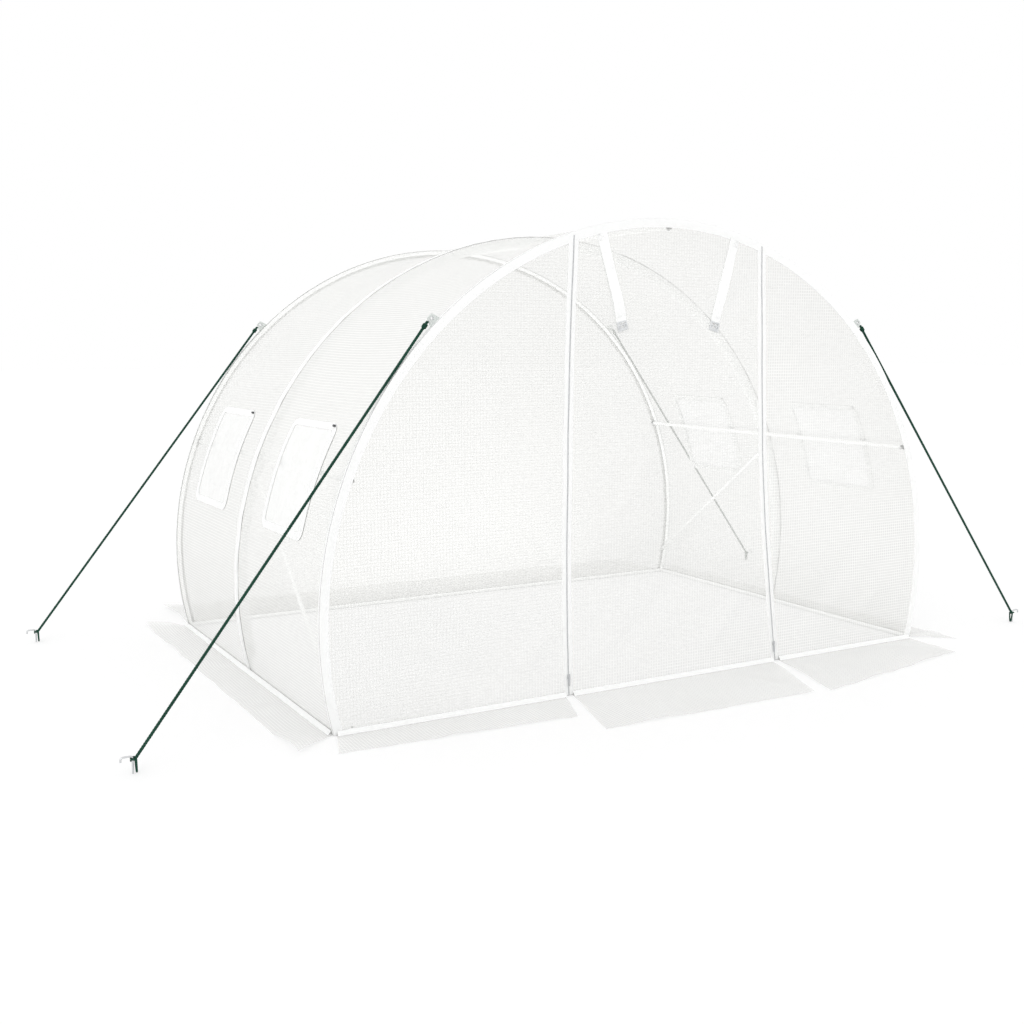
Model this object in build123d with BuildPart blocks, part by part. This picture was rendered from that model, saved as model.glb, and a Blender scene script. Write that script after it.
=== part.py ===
from build123d import *
import os
from math import acos, atan2, cos, degrees, hypot, radians, sin, sqrt, tan

# Polytunnel greenhouse: three round hoops of steel tube on a ground frame, wrapped in film.
# X runs across the door end, Y from the door end to the back, Z up from the ground.

# Tube frame
span = 3000
hoop_height = 1935
bay_length = 1000
tube_diameter = 20
brace_diameter = 16
connector_arm = 45
connector_diameter = 19
side_purlin_angle = 68.5
brace_top_angle = 71.5
brace_foot_height = 150
clearance = 0.3
brace_clearance = 0.8

# Film cover
film_thickness = 2
eaves_angle = 50
seam_band_width = 50
seam_band_thickness = 3.5
window_head_angle = 62
window_sill_angle = 78
window_width = 440
window_flap_margin = 22
window_corner = 38
lap_clearance = 0.8

# Zipped doorway in the front wall
left_zip_top = 470
left_zip_bottom = 480
right_zip_top = 485
right_zip_bottom = 640
zip_tape_width = 43
zip_tape_thickness = 1.5
strap_top_offset = 340
strap_top_drop = 30
strap_length = 370
strap_width = 42
strap_thickness = 2
strap_lean = 15.5
buckle_width = 48
buckle_length = 40
buckle_thickness = 9
buckle_corner = 3

# Skirts that lie on the ground
side_skirt_reach = 190
side_skirt_slant = 150
skirt_split = 36
corner_flap_reach = 196
corner_flap_drift = 70
left_flap_reach = 256
left_flap_drift = 100
door_flap_reach = 440
door_flap_drift = 130
door_flap_right_reach = 465
door_flap_right_drift = 185
right_flap_reach = 490
right_flap_drift = 150
right_corner_reach = 310
right_corner_drift = 18

# Guy ropes, their tabs and pegs
rope_angle = 43.5
rope_diameter = 11
rope_eye_share = 0.7
tab_base = 50
tab_tip = 26
tab_height = 34
tab_thickness = 5
rope_standoff = 2
peg_end_offset = 40
peg_height = 62
peg_diameter = 7
peg_bend = 9
peg_hook = 40
peg_hook_drop = 16
peg_rope_height = 40

# Places that follow from the sizes above
tube_radius = tube_diameter / 2
brace_radius = brace_diameter / 2
connector_radius = connector_diameter / 2
half_span = span / 2
rail_height = tube_radius
hoop_rise = hoop_height - rail_height
hoop_radius = (half_span**2 + hoop_rise**2) / (2 * hoop_rise)
hoop_centre = hoop_height - hoop_radius
foot_angle = degrees(acos((rail_height - hoop_centre) / hoop_radius))
arm_angle = degrees(connector_arm / hoop_radius)
half_length = bay_length

cover_inner = hoop_radius + tube_radius + clearance
cover_outer = cover_inner + film_thickness
film_bottom = film_thickness + clearance
cover_foot_angle = degrees(acos((film_bottom - hoop_centre) / cover_outer))
seam_gap_angle = degrees(clearance / cover_inner)
end_wall = half_length + tube_radius + clearance
end_wall_face = end_wall + film_thickness
side_wall_foot = sqrt(cover_inner**2 - (film_bottom - hoop_centre) ** 2)
window_offset = bay_length / 2
purlin_radius = hoop_radius - tube_diameter - clearance

os.makedirs("parts", exist_ok=True)


def keep(piece, name):
    """Label a finished piece and write it as a node of its own."""
    piece.label = name
    export_step(piece, f"parts/{name}.step")


def on_arc(radius, angle):
    """X and Z of a point on the hoop's circle, at an angle from the top, plus to the right."""
    return radius * sin(radians(angle)), hoop_centre + radius * cos(radians(angle))


def upright(depth):
    """The upright plane across the tunnel at a depth, with X to the right and Z up."""
    return Plane.XZ.offset(-depth)


def hoop(depth):
    """One bent hoop, from the top of one foot connector to the other."""
    reach = foot_angle - arm_angle - degrees(clearance / hoop_radius)
    with BuildPart() as bent_tube:
        with BuildLine(upright(depth)) as bend:
            CenterArc((0, hoop_centre), hoop_radius, 90 - reach, 2 * reach)
        with BuildSketch(Plane(origin=bend.line @ 0, z_dir=bend.line % 0)):
            Circle(tube_radius)
        sweep(path=bend.line)
    return bent_tube.part


def straight_tube(start, end, radius):
    """A straight round tube or rope from one point to another."""
    run = Vector(*end) - Vector(*start)
    with BuildPart() as tube:
        with BuildSketch(Plane(origin=start, z_dir=run)):
            Circle(radius)
        extrude(amount=run.length)
    return tube.part


def curved_sheet(inner, thickness, first_angle, last_angle, front, back):
    """A sheet bent round the hoops, between two angles from the top and two depths."""
    start = 90 - last_angle
    sweep_angle = last_angle - first_angle
    with BuildPart() as sheet:
        with BuildSketch(upright(back)):
            with BuildLine():
                outside = CenterArc((0, hoop_centre), inner + thickness, start, sweep_angle)
                inside = CenterArc((0, hoop_centre), inner, start, sweep_angle)
                Line(outside @ 0, inside @ 0)
                Line(outside @ 1, inside @ 1)
            make_face()
        extrude(amount=back - front)
    return sheet.part


def rounded_corners(sheet, radius):
    """A bent sheet with its four corners rounded."""
    with BuildPart() as rounded:
        add(sheet)
        fillet(rounded.edges().filter_by(GeomType.LINE).filter_by(Axis.Y, reverse=True), radius)
    return rounded.part


def end_sheet(corners, face, thickness):
    """A flat upright sheet inside the tunnel's outline, cut to a run of corners in X and Z."""
    with BuildPart() as sheet:
        with BuildSketch(upright(face)):
            with Locations((0, hoop_centre)):
                Circle(cover_outer)
            with BuildLine():
                Polyline(*corners, close=True)
            make_face(mode=Mode.INTERSECT)
        extrude(amount=thickness)
    return sheet.part


def ground_flap(corners):
    """A flap of film lying on the ground, given by its corners in X and Y."""
    with BuildPart() as flap:
        with BuildSketch(Plane.XY):
            with BuildLine():
                Polyline(*corners, close=True)
            make_face()
        extrude(amount=film_thickness)
    return flap.part


# Hoops
hoop_depths = {"front": -half_length, "middle": 0, "back": half_length}
for place, depth in hoop_depths.items():
    keep(hoop(depth), f"{place}_hoop")

# Purlins, inside the three hoops at the ridge and at half height
purlin_end = half_length + tube_radius
for place, angle in {"ridge": 0, "left": -side_purlin_angle, "right": side_purlin_angle}.items():
    x, z = on_arc(purlin_radius, angle)
    keep(straight_tube((x, -purlin_end, z), (x, purlin_end, z), tube_radius), f"{place}_purlin")

# Ground rails, butted against the foot connectors
arm_end = connector_arm + clearance
rail_end = half_span - arm_end
for place, depth in {"front": -half_length, "back": half_length}.items():
    rail = straight_tube((-rail_end, depth, rail_height), (rail_end, depth, rail_height), tube_radius)
    keep(rail, f"{place}_base_rail")
for place, x in {"left": -half_span, "right": half_span}.items():
    with BuildPart() as side_rails:
        for middle in (-bay_length / 2, bay_length / 2):
            with BuildSketch(Plane.XZ.offset(-middle)):
                with Locations((x, rail_height)):
                    Circle(tube_radius)
            extrude(amount=bay_length / 2 - arm_end, both=True)
    keep(side_rails.part, f"{place}_base_rails")

# Foot connectors: three-way elbows at the corners and tees under the middle hoop
with BuildPart() as foot_connectors:
    for side in (-1, 1):
        for depth in hoop_depths.values():
            foot = (side * half_span, depth, rail_height)
            with BuildLine(upright(depth)) as leg:
                start = 90 - side * foot_angle
                CenterArc((0, hoop_centre), hoop_radius, start, side * arm_angle)
            with BuildSketch(Plane(origin=leg.line @ 0, z_dir=leg.line % 0)):
                Circle(connector_radius)
            sweep(path=leg.line)
            with Locations(foot):
                Sphere(tube_radius)
            along = (-1, 1) if depth == 0 else (-1 if depth > 0 else 1,)
            for way in along:
                with BuildSketch(Plane(origin=foot, z_dir=(0, way, 0))):
                    Circle(connector_radius)
                extrude(amount=connector_arm)
            if depth != 0:
                with BuildSketch(Plane(origin=foot, z_dir=(-side, 0, 0))):
                    Circle(connector_radius)
                extrude(amount=connector_arm)
keep(foot_connectors.part, "foot_connectors")

# Diagonal wall braces, from the middle hoop down to an end hoop
brace_radius_of_turn = hoop_radius - tube_radius - brace_radius - brace_clearance
brace_foot_angle = degrees(acos((brace_foot_height - hoop_centre) / brace_radius_of_turn))
for place, side, depth in (("left", -1, -half_length), ("right", 1, half_length)):
    top_x, top_z = on_arc(brace_radius_of_turn, side * brace_top_angle)
    low_x, low_z = on_arc(brace_radius_of_turn, side * brace_foot_angle)
    brace = straight_tube((top_x, 0, top_z), (low_x, depth, low_z), brace_radius)
    keep(brace, f"{place}_wall_brace")

# Cover: in each bay two walls with a window cut through and a roof between them
cover_end = end_wall - clearance
cover_seam = seam_band_width / 2 + clearance
bays = {"front": (-cover_end, -cover_seam), "back": (cover_seam, cover_end)}
for bay, (front, back) in bays.items():
    window_middle = -window_offset if bay == "front" else window_offset
    roof_half = eaves_angle - seam_gap_angle / 2
    roof = curved_sheet(cover_inner, film_thickness, -roof_half, roof_half, front, back)
    keep(roof, f"{bay}_roof_cover")
    for place, side in (("left", -1), ("right", 1)):
        wall_angles = sorted((side * (eaves_angle + seam_gap_angle / 2), side * cover_foot_angle))
        window_angles = sorted((side * window_head_angle, side * window_sill_angle))
        window_half = window_width / 2
        window_front = window_middle - window_half
        window_back = window_middle + window_half
        with BuildPart() as wall:
            add(curved_sheet(cover_inner, film_thickness, *wall_angles, front, back))
            hole_inner = cover_inner - film_thickness
            hole = curved_sheet(hole_inner, 3 * film_thickness, *window_angles, window_front, window_back)
            add(rounded_corners(hole, window_corner), mode=Mode.SUBTRACT)
        keep(wall.part, f"{place}_{bay}_cover")

        # The closed flap over the window
        flap_inner = cover_outer + lap_clearance
        margin_angle = degrees(window_flap_margin / flap_inner)
        flap_angles = (window_angles[0] - margin_angle, window_angles[1] + margin_angle)
        flap_front = window_front - window_flap_margin
        flap_back = window_back + window_flap_margin
        flap = curved_sheet(flap_inner, film_thickness, *flap_angles, flap_front, flap_back)
        keep(rounded_corners(flap, window_corner + window_flap_margin), f"{place}_{bay}_window_flap")

# Reinforced band over the middle hoop, which joins the covers of the two bays
band_foot_angle = degrees(acos((film_bottom - hoop_centre) / (cover_inner + seam_band_thickness)))
band = curved_sheet(
    cover_inner,
    seam_band_thickness,
    -band_foot_angle,
    band_foot_angle,
    -seam_band_width / 2,
    seam_band_width / 2,
)
keep(band, "middle_seam_band")

# End walls: the back in one sheet, the front in three, parted along the two zips
beyond = span
tall = hoop_height + span
left_zip = ((-left_zip_bottom, film_bottom), (-left_zip_top, hoop_height))
right_zip = ((right_zip_bottom, film_bottom), (right_zip_top, hoop_height))


def along_zip(zip_line, shift):
    """The foot of a zip line, and the line carried on far above the roof, shifted sideways."""
    (foot_x, foot_z), (top_x, top_z) = zip_line
    slope = (top_x - foot_x) / (top_z - foot_z)
    return (foot_x + shift, foot_z), (foot_x + slope * (tall - foot_z) + shift, tall)


back_corners = ((-beyond, film_bottom), (beyond, film_bottom), (beyond, tall), (-beyond, tall))
keep(end_sheet(back_corners, end_wall_face, film_thickness), "back_wall")

foot, top = along_zip(left_zip, -clearance / 2)
left_corners = ((-beyond, film_bottom), foot, top, (-beyond, tall))
keep(end_sheet(left_corners, -end_wall, film_thickness), "front_wall_left")

door_left = along_zip(left_zip, clearance / 2)
door_right = along_zip(right_zip, -clearance / 2)
door_corners = (door_left[0], door_right[0], door_right[1], door_left[1])
keep(end_sheet(door_corners, -end_wall, film_thickness), "door_panel")

foot, top = along_zip(right_zip, clearance / 2)
right_corners = (foot, (beyond, film_bottom), (beyond, tall), top)
keep(end_sheet(right_corners, -end_wall, film_thickness), "front_wall_right")

# Zips, straps and buckles on the face of the front wall
zip_face = -(end_wall_face + clearance)
for place, zip_line in (("left", left_zip), ("right", right_zip)):
    near = along_zip(zip_line, -zip_tape_width / 2)
    far = along_zip(zip_line, zip_tape_width / 2)
    tape = end_sheet((near[0], far[0], far[1], near[1]), zip_face, zip_tape_thickness)
    keep(tape, f"{place}_door_zip")

strap_top_height = hoop_centre + sqrt(cover_outer**2 - strap_top_offset**2) - strap_top_drop
strap_shift = strap_length / 2
buckle_shift = strap_length + clearance + buckle_length / 2


def strap_place(side, shift):
    """Where the middle of a piece lies, a way down a leaning strap from its top."""
    lean = -side * strap_lean
    x = side * strap_top_offset + shift * sin(radians(lean))
    z = strap_top_height - shift * cos(radians(lean))
    return Location((x, z), lean)


for place, side in (("left", -1), ("right", 1)):
    with BuildPart() as strap:
        with BuildSketch(upright(zip_face)):
            with Locations(strap_place(side, strap_shift)):
                Rectangle(strap_width, strap_length)
        extrude(amount=strap_thickness)
    keep(strap.part, f"{place}_door_strap")

with BuildPart() as strap_buckles:
    with BuildSketch(upright(zip_face)):
        with Locations(strap_place(-1, buckle_shift), strap_place(1, buckle_shift)):
            RectangleRounded(buckle_width, buckle_length, buckle_corner)
    extrude(amount=buckle_thickness)
keep(strap_buckles.part, "strap_buckles")

# Skirts: one flap along each side and the back, three in front parted at the zips
for place, side in (("left", -1), ("right", 1)):
    inner = side * side_wall_foot
    outer = side * (side_wall_foot + side_skirt_reach)
    skirt = ground_flap(
        (
            (inner, -half_length),
            (outer, -half_length - side_skirt_slant),
            (outer, half_length + side_skirt_slant),
            (inner, half_length),
        )
    )
    keep(skirt, f"{place}_skirt")

back_edge = end_wall + right_flap_reach
keep(
    ground_flap(
        (
            (-half_span, end_wall),
            (half_span, end_wall),
            (half_span + right_corner_drift, back_edge),
            (-half_span - right_corner_drift, back_edge),
        )
    ),
    "back_skirt",
)

half_split = skirt_split / 2
keep(
    ground_flap(
        (
            (-half_span, -end_wall),
            (-left_zip_bottom - half_split, -end_wall),
            (-left_zip_bottom - half_split - left_flap_drift, -end_wall - left_flap_reach),
            (-half_span - corner_flap_drift, -end_wall - corner_flap_reach),
        )
    ),
    "front_left_skirt",
)
keep(
    ground_flap(
        (
            (-left_zip_bottom + half_split, -end_wall),
            (right_zip_bottom - half_split, -end_wall),
            (right_zip_bottom - half_split - door_flap_right_drift, -end_wall - door_flap_right_reach),
            (-left_zip_bottom + half_split - door_flap_drift, -end_wall - door_flap_reach),
        )
    ),
    "door_skirt",
)
keep(
    ground_flap(
        (
            (right_zip_bottom + half_split, -end_wall),
            (half_span, -end_wall),
            (half_span - right_corner_drift, -end_wall - right_corner_reach),
            (right_zip_bottom + half_split - right_flap_drift, -end_wall - right_flap_reach),
        )
    ),
    "front_right_skirt",
)

# Guy ropes from tabs on the end hoops' shoulders to pegs in the ground
tab_foot = cover_outer + clearance
peg_radius = peg_diameter / 2
rope_radius = rope_diameter / 2
tab_edge_run = tab_base / 2 - tab_tip / 2
rope_turn = radians(rope_angle)
eye_out = tab_foot + tab_height * rope_eye_share
eye_down = tab_base / 2 - tab_edge_run * rope_eye_share

# A rope just clears the cover's flank, so its slope and its peg's place follow from its eye
eye_angle = rope_turn + atan2(eye_down, eye_out)
rope_slope = eye_angle + acos((cover_outer + rope_radius + rope_standoff) / hypot(eye_out, eye_down))
eye_x = hypot(eye_out, eye_down) * sin(eye_angle)
eye_z = hoop_centre + hypot(eye_out, eye_down) * cos(eye_angle)
peg_offset = eye_x + (eye_z - peg_rope_height) / tan(rope_slope)
with BuildPart() as rope_tabs:
    for side in (-1, 1):
        for depth in (-half_length, half_length):
            x, z = on_arc(tab_foot, side * rope_angle)
            turn = radians(side * rope_angle)
            tab_plane = Plane(origin=(x, depth, z), x_dir=(cos(turn), 0, -sin(turn)), z_dir=(0, -1, 0))
            with BuildSketch(tab_plane):
                with BuildLine():
                    Polyline(
                        (-tab_base / 2, 0),
                        (tab_base / 2, 0),
                        (tab_tip / 2, tab_height),
                        (-tab_tip / 2, tab_height),
                        close=True,
                    )
                make_face()
            extrude(amount=tab_thickness / 2, both=True)
keep(rope_tabs.part, "rope_tabs")

with BuildPart() as ground_pegs:
    for side in (-1, 1):
        for end in (-1, 1):
            peg_y = end * (half_length + peg_end_offset)
            with BuildLine(upright(peg_y)) as bend:
                FilletPolyline(
                    (side * peg_offset, 0),
                    (side * peg_offset, peg_height),
                    (side * (peg_offset + peg_hook), peg_height),
                    (side * (peg_offset + peg_hook), peg_height - peg_hook_drop),
                    radius=peg_bend,
                )
            with BuildSketch(Plane(origin=bend.line @ 0, z_dir=bend.line % 0)):
                Circle(peg_radius)
            sweep(path=bend.line)
keep(ground_pegs.part, "ground_pegs")

edge_length = hypot(tab_edge_run, tab_height)
for place, side in (("left", -1), ("right", 1)):
    outward = Vector(side * sin(rope_turn), 0, cos(rope_turn))
    downward = Vector(side * cos(rope_turn), 0, -sin(rope_turn))
    edge_normal = (downward * tab_height + outward * tab_edge_run) / edge_length
    for bay, end in (("front", -1), ("back", 1)):
        eye = Vector(side * eye_x, end * half_length, eye_z)
        peg = Vector(side * peg_offset, end * (half_length + peg_end_offset), peg_rope_height)
        run = (peg - eye).normalized()
        square_on = run.dot(edge_normal)
        start = eye + run * ((clearance + rope_radius * sqrt(1 - square_on**2)) / square_on)
        level = hypot(run.X, run.Y)
        stop = peg - run * ((peg_radius + clearance + rope_radius * abs(run.Z)) / level)
        keep(straight_tube(tuple(start), tuple(stop), rope_radius), f"{place}_{bay}_guy_rope")
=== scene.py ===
"""Dresses the polytunnel greenhouse: tube frame, film cover, windows, door, skirts and guy ropes."""

import logging
import math
from collections.abc import Callable, Iterable, Sequence
from dataclasses import dataclass
from enum import Enum
from itertools import pairwise, product

import bmesh
import bpy
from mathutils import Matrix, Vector, noise

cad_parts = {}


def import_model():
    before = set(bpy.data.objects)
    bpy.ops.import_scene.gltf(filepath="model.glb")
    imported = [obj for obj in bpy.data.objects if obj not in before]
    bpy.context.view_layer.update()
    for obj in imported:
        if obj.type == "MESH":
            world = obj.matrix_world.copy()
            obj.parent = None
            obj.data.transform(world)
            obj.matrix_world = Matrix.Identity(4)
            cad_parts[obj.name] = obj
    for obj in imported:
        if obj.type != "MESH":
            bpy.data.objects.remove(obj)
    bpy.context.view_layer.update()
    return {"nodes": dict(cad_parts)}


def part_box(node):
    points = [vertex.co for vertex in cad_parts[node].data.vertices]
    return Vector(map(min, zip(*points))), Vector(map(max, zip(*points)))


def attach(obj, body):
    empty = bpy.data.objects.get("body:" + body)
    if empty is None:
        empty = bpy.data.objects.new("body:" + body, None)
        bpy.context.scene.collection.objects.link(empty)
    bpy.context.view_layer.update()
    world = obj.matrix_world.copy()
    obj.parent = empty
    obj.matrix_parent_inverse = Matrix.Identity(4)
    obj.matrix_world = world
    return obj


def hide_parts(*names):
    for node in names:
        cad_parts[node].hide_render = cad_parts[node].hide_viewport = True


logging.basicConfig(level=logging.INFO, format="%(name)s %(message)s")
log = logging.getLogger("polytunnel")

BODY = "root"
X_AXIS, Y_AXIS, Z_AXIS = Vector((1, 0, 0)), Vector((0, 1, 0)), Vector((0, 0, 1))

# How far the film lies inside the outer faces of its solids
FILM_INSET = 0.001

Piece = bpy.types.Object
Socket = bpy.types.NodeSocket
Colour = tuple[float, float, float]
Pair = tuple[float, float]
Profile = tuple[Pair, ...]


class NamedPlace(Enum):
    """A place on the tunnel, with the sign that its axis has there."""

    @property
    def word(self) -> str:
        """The place as the pieces' names have it."""
        return self.name.lower()


class Side(NamedPlace):
    """A side of the tunnel, along X."""

    LEFT = -1
    RIGHT = 1


class End(NamedPlace):
    """An end of the tunnel, along Y."""

    FRONT = -1
    BACK = 1


class Hold(Enum):
    """How a sheet of film or webbing is held."""

    STRETCHED = "stretched"
    HUNG = "hung"
    LAID = "laid"


# Finishes


class Wiring:
    """Adds and wires the nodes of one tree."""

    def __init__(self, tree: bpy.types.NodeTree) -> None:
        """Keep the tree."""
        self.tree = tree

    def feed(self, socket: Socket, value: object) -> None:
        """Wire a socket to another one, or set its plain value."""
        if isinstance(value, Socket):
            self.tree.links.new(value, socket)
        else:
            socket.default_value = value

    def add(self, kind: str, settings: dict[str, object] | None = None, **inputs: object) -> bpy.types.Node:
        """Add a node, set its options and feed its inputs.

        Args:
            kind: The node's type.
            settings: The node's own options.
            inputs: A socket or a plain value for each named input, with spaces written as underscores.

        Returns:
            The new node.
        """
        node = self.tree.nodes.new(kind)
        for name, value in (settings or {}).items():
            setattr(node, name, value)
        for name, value in inputs.items():
            self.feed(node.inputs[name.replace("_", " ")], value)
        return node

    def sum(self, operation: str, first: object, second: object = 0.0) -> Socket:
        """Return the result of one sum of one or two numbers or sockets."""
        node = self.add("ShaderNodeMath", {"operation": operation})
        for socket, value in zip(node.inputs, (first, second)):
            self.feed(socket, value)
        return node.outputs[0]


class Bench(Wiring):
    """Wires one material about its main shader."""

    def __init__(self, tree: bpy.types.NodeTree) -> None:
        """Keep the tree and its main shader."""
        super().__init__(tree)
        self.shader = tree.nodes["Principled BSDF"]

    def unwrapped(self) -> tuple[Socket, Socket]:
        """Return the two coordinates of the piece's own UV map, in metres."""
        parts = self.add("ShaderNodeSeparateXYZ", Vector=self.add("ShaderNodeTexCoord").outputs["UV"])
        return parts.outputs[0], parts.outputs[1]

    def ease(self, value: Socket, start: float, stop: float, low: float, high: float) -> Socket:
        """Return a value eased from low at start to high at stop."""
        node = self.add("ShaderNodeMapRange", {"interpolation_type": "SMOOTHSTEP"})
        for socket, number in zip(node.inputs[:5], (value, start, stop, low, high)):
            self.feed(socket, number)
        return node.outputs[0]

    def speckle(self, scale: float, detail: float = 2.0) -> Socket:
        """Return a noise over the piece's place, from 0 to 1, at a scale per metre."""
        place = self.add("ShaderNodeTexCoord").outputs["Object"]
        return self.add("ShaderNodeTexNoise", Vector=place, Scale=scale, Detail=detail).outputs[0]

    def blend(self, share: Socket, first: Colour, second: Colour) -> Socket:
        """Return a colour from the first to the second, by a share from 0 to 1."""
        node = self.add("ShaderNodeMix", {"data_type": "RGBA"})
        for index, value in ((0, share), (6, (*first, 1.0)), (7, (*second, 1.0))):
            self.feed(node.inputs[index], value)
        return node.outputs[2]

    def thread(self, coordinate: Socket, pitch: float, width: float) -> Socket:
        """Return 1 on lines of a width that repeat at a pitch, and 0 between them."""
        away = self.sum("PINGPONG", self.sum("DIVIDE", coordinate, pitch), 0.5)
        half = width / pitch / 2
        return self.ease(away, half * 0.6, half * 1.4, 1.0, 0.0)

    def bump(self, height: Socket, distance: float) -> None:
        """Raise the surface by a height from 0 to 1 of a distance in metres."""
        node = self.add("ShaderNodeBump", Distance=distance, Height=height)
        self.feed(self.shader.inputs["Normal"], node.outputs[0])

    def shade(self, **values: object) -> None:
        """Set or wire inputs of the main shader, with spaces written as underscores."""
        for name, value in values.items():
            self.feed(self.shader.inputs[name.replace("_", " ")], value)


@dataclass(frozen=True)
class Finish:
    """A finish with a material of its own: a linear colour, the shade it drifts to and a mean roughness."""

    name: str
    colour: Colour
    shade: Colour
    roughness: float = 0.5

    def material(self) -> bpy.types.Material:
        """Return the finish's material, made on first use."""
        made = bpy.data.materials.get(self.name)
        if made is None:
            made = bpy.data.materials.new(self.name)
            made.use_nodes = True
            self.dress(Bench(made.node_tree))
        return made

    def dress(self, bench: Bench) -> None:
        """Wire the finish's nodes.

        Args:
            bench: The material's bench.
        """
        raise NotImplementedError


@dataclass(frozen=True)
class PowderCoat(Finish):
    """White powder coat on steel, with a fine orange peel and faint scuffs."""

    scuff_scale: float = 38.0
    gloss_scale: float = 14.0
    peel_scale: float = 900.0
    peel_depth: float = 0.00012

    def dress(self, bench: Bench) -> None:
        """Wire the coat's scuffs, its drift of gloss and its peel.

        Args:
            bench: The material's bench.
        """
        scuffs = bench.ease(bench.speckle(self.scuff_scale, 6.0), 0.58, 0.74, 0.0, 1.0)
        gloss = bench.speckle(self.gloss_scale, 3.0)
        bench.shade(
            Base_Color=bench.blend(scuffs, self.colour, self.shade),
            Roughness=bench.ease(gloss, 0.2, 0.8, self.roughness - 0.06, self.roughness + 0.1),
        )
        bench.bump(bench.speckle(self.peel_scale, 1.0), self.peel_depth)


@dataclass(frozen=True)
class ScrimFilm(Finish):
    """Translucent film with a square scrim of threads welded into it."""

    pitch: float = 0.0135
    thread_width: float = 0.0026
    clear: float = 0.33
    dense: float = 0.57
    haze_scale: float = 2.3
    crease_scale: float = 26.0
    crease_depth: float = 0.0009

    def dress(self, bench: Bench) -> None:
        """Wire the scrim, the film's haze and its fine creases.

        Args:
            bench: The material's bench.
        """
        threads = [bench.thread(way, self.pitch, self.thread_width) for way in bench.unwrapped()]
        scrim = bench.sum("MAXIMUM", *threads)
        haze = bench.ease(bench.speckle(self.haze_scale, 1.0), 0.3, 0.7, self.clear - 0.03, self.clear + 0.04)
        bench.shade(
            Base_Color=bench.blend(scrim, self.colour, self.shade),
            Alpha=bench.sum("ADD", haze, bench.sum("MULTIPLY", scrim, self.dense - self.clear)),
            Roughness=bench.ease(scrim, 0.0, 1.0, self.roughness, self.roughness + 0.25),
        )
        crease = bench.ease(bench.speckle(self.crease_scale, 3.0), 0.35, 0.65, 0.0, 0.6)
        bench.bump(bench.sum("ADD", crease, bench.sum("MULTIPLY", scrim, 0.4)), self.crease_depth)


@dataclass(frozen=True)
class MilkyFilm(Finish):
    """Smooth milky film without a scrim."""

    clear: float = 0.6
    gloss: float = 0.15
    cloud_scale: float = 7.0
    gloss_scale: float = 11.0
    crease_scale: float = 19.0
    crease_depth: float = 0.0011

    def dress(self, bench: Bench) -> None:
        """Wire the film's clouds and its soft creases.

        Args:
            bench: The material's bench.
        """
        clouds, drift = bench.speckle(self.cloud_scale, 4.0), bench.speckle(self.gloss_scale)
        bench.shade(
            Base_Color=bench.blend(clouds, self.colour, self.shade),
            Alpha=bench.ease(clouds, 0.25, 0.75, self.clear - 0.06, self.clear + 0.08),
            Roughness=bench.ease(drift, 0.3, 0.7, self.roughness - 0.05, self.roughness + 0.1),
            Specular_IOR_Level=self.gloss,
        )
        crease = bench.speckle(self.crease_scale, 3.0)
        bench.bump(bench.ease(crease, 0.3, 0.7, 0.0, 1.0), self.crease_depth)


@dataclass(frozen=True)
class Webbing(Finish):
    """Woven tape with ribs along it and picks across it, with painted shade in the grooves between them."""

    rib: float = 0.0022
    pick: float = 0.0014
    wear_scale: float = 30.0
    weave_depth: float = 0.0004

    def dress(self, bench: Bench) -> None:
        """Wire the weave as roughness and relief, and as painted shade in its grooves, with a random drift of
        wear.

        Args:
            bench: The material's bench.
        """
        along, across = bench.unwrapped()
        ribs = bench.thread(across, self.rib, self.rib * 0.7)
        picks = bench.thread(along, self.pick, self.pick * 0.6)
        weave = bench.sum("MULTIPLY", ribs, bench.ease(picks, 0.0, 1.0, 0.45, 1.0))
        wear = bench.ease(bench.speckle(self.wear_scale, 4.0), 0.2, 0.8, 0.7, 1.0)
        # Painted shade: the colour falls to the shade colour in the grooves between ribs and picks, and a
        # little more where the wear drifts.
        bench.shade(
            Base_Color=bench.blend(bench.sum("MULTIPLY", weave, wear), self.shade, self.colour),
            Roughness=bench.ease(weave, 0.0, 1.0, self.roughness + 0.1, self.roughness),
        )
        bench.bump(weave, self.weave_depth)


@dataclass(frozen=True)
class MouldedPlastic(Finish):
    """Moulded plastic with a fine grain and rubbed places."""

    rub_scale: float = 55.0
    grain_scale: float = 1400.0
    grain_depth: float = 0.0001

    def dress(self, bench: Bench) -> None:
        """Wire the grain and the rubbed places.

        Args:
            bench: The material's bench.
        """
        rubbed = bench.ease(bench.speckle(self.rub_scale, 5.0), 0.5, 0.75, 0.0, 1.0)
        bench.shade(
            Base_Color=bench.blend(rubbed, self.colour, self.shade),
            Roughness=bench.ease(rubbed, 0.0, 1.0, self.roughness, self.roughness - 0.12),
        )
        bench.bump(bench.speckle(self.grain_scale, 1.0), self.grain_depth)


@dataclass(frozen=True)
class RopeYarn(Finish):
    """Twisted yarn with fibres of slightly different greens."""

    gloss: float = 0.2
    drift_scale: float = 9.0
    fibre_scale: float = 420.0
    fibre_depth: float = 0.0005

    def dress(self, bench: Bench) -> None:
        """Wire the fibres and the slow drift of colour along the rope.

        Args:
            bench: The material's bench.
        """
        fibres = bench.speckle(self.fibre_scale, 3.0)
        drift = bench.ease(bench.speckle(self.drift_scale), 0.3, 0.7, 0.6, 1.0)
        bench.shade(
            Base_Color=bench.blend(bench.sum("MULTIPLY", drift, fibres), self.colour, self.shade),
            Roughness=bench.ease(fibres, 0.2, 0.8, self.roughness - 0.1, self.roughness + 0.1),
            Specular_IOR_Level=self.gloss,
        )
        bench.bump(fibres, self.fibre_depth)


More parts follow.
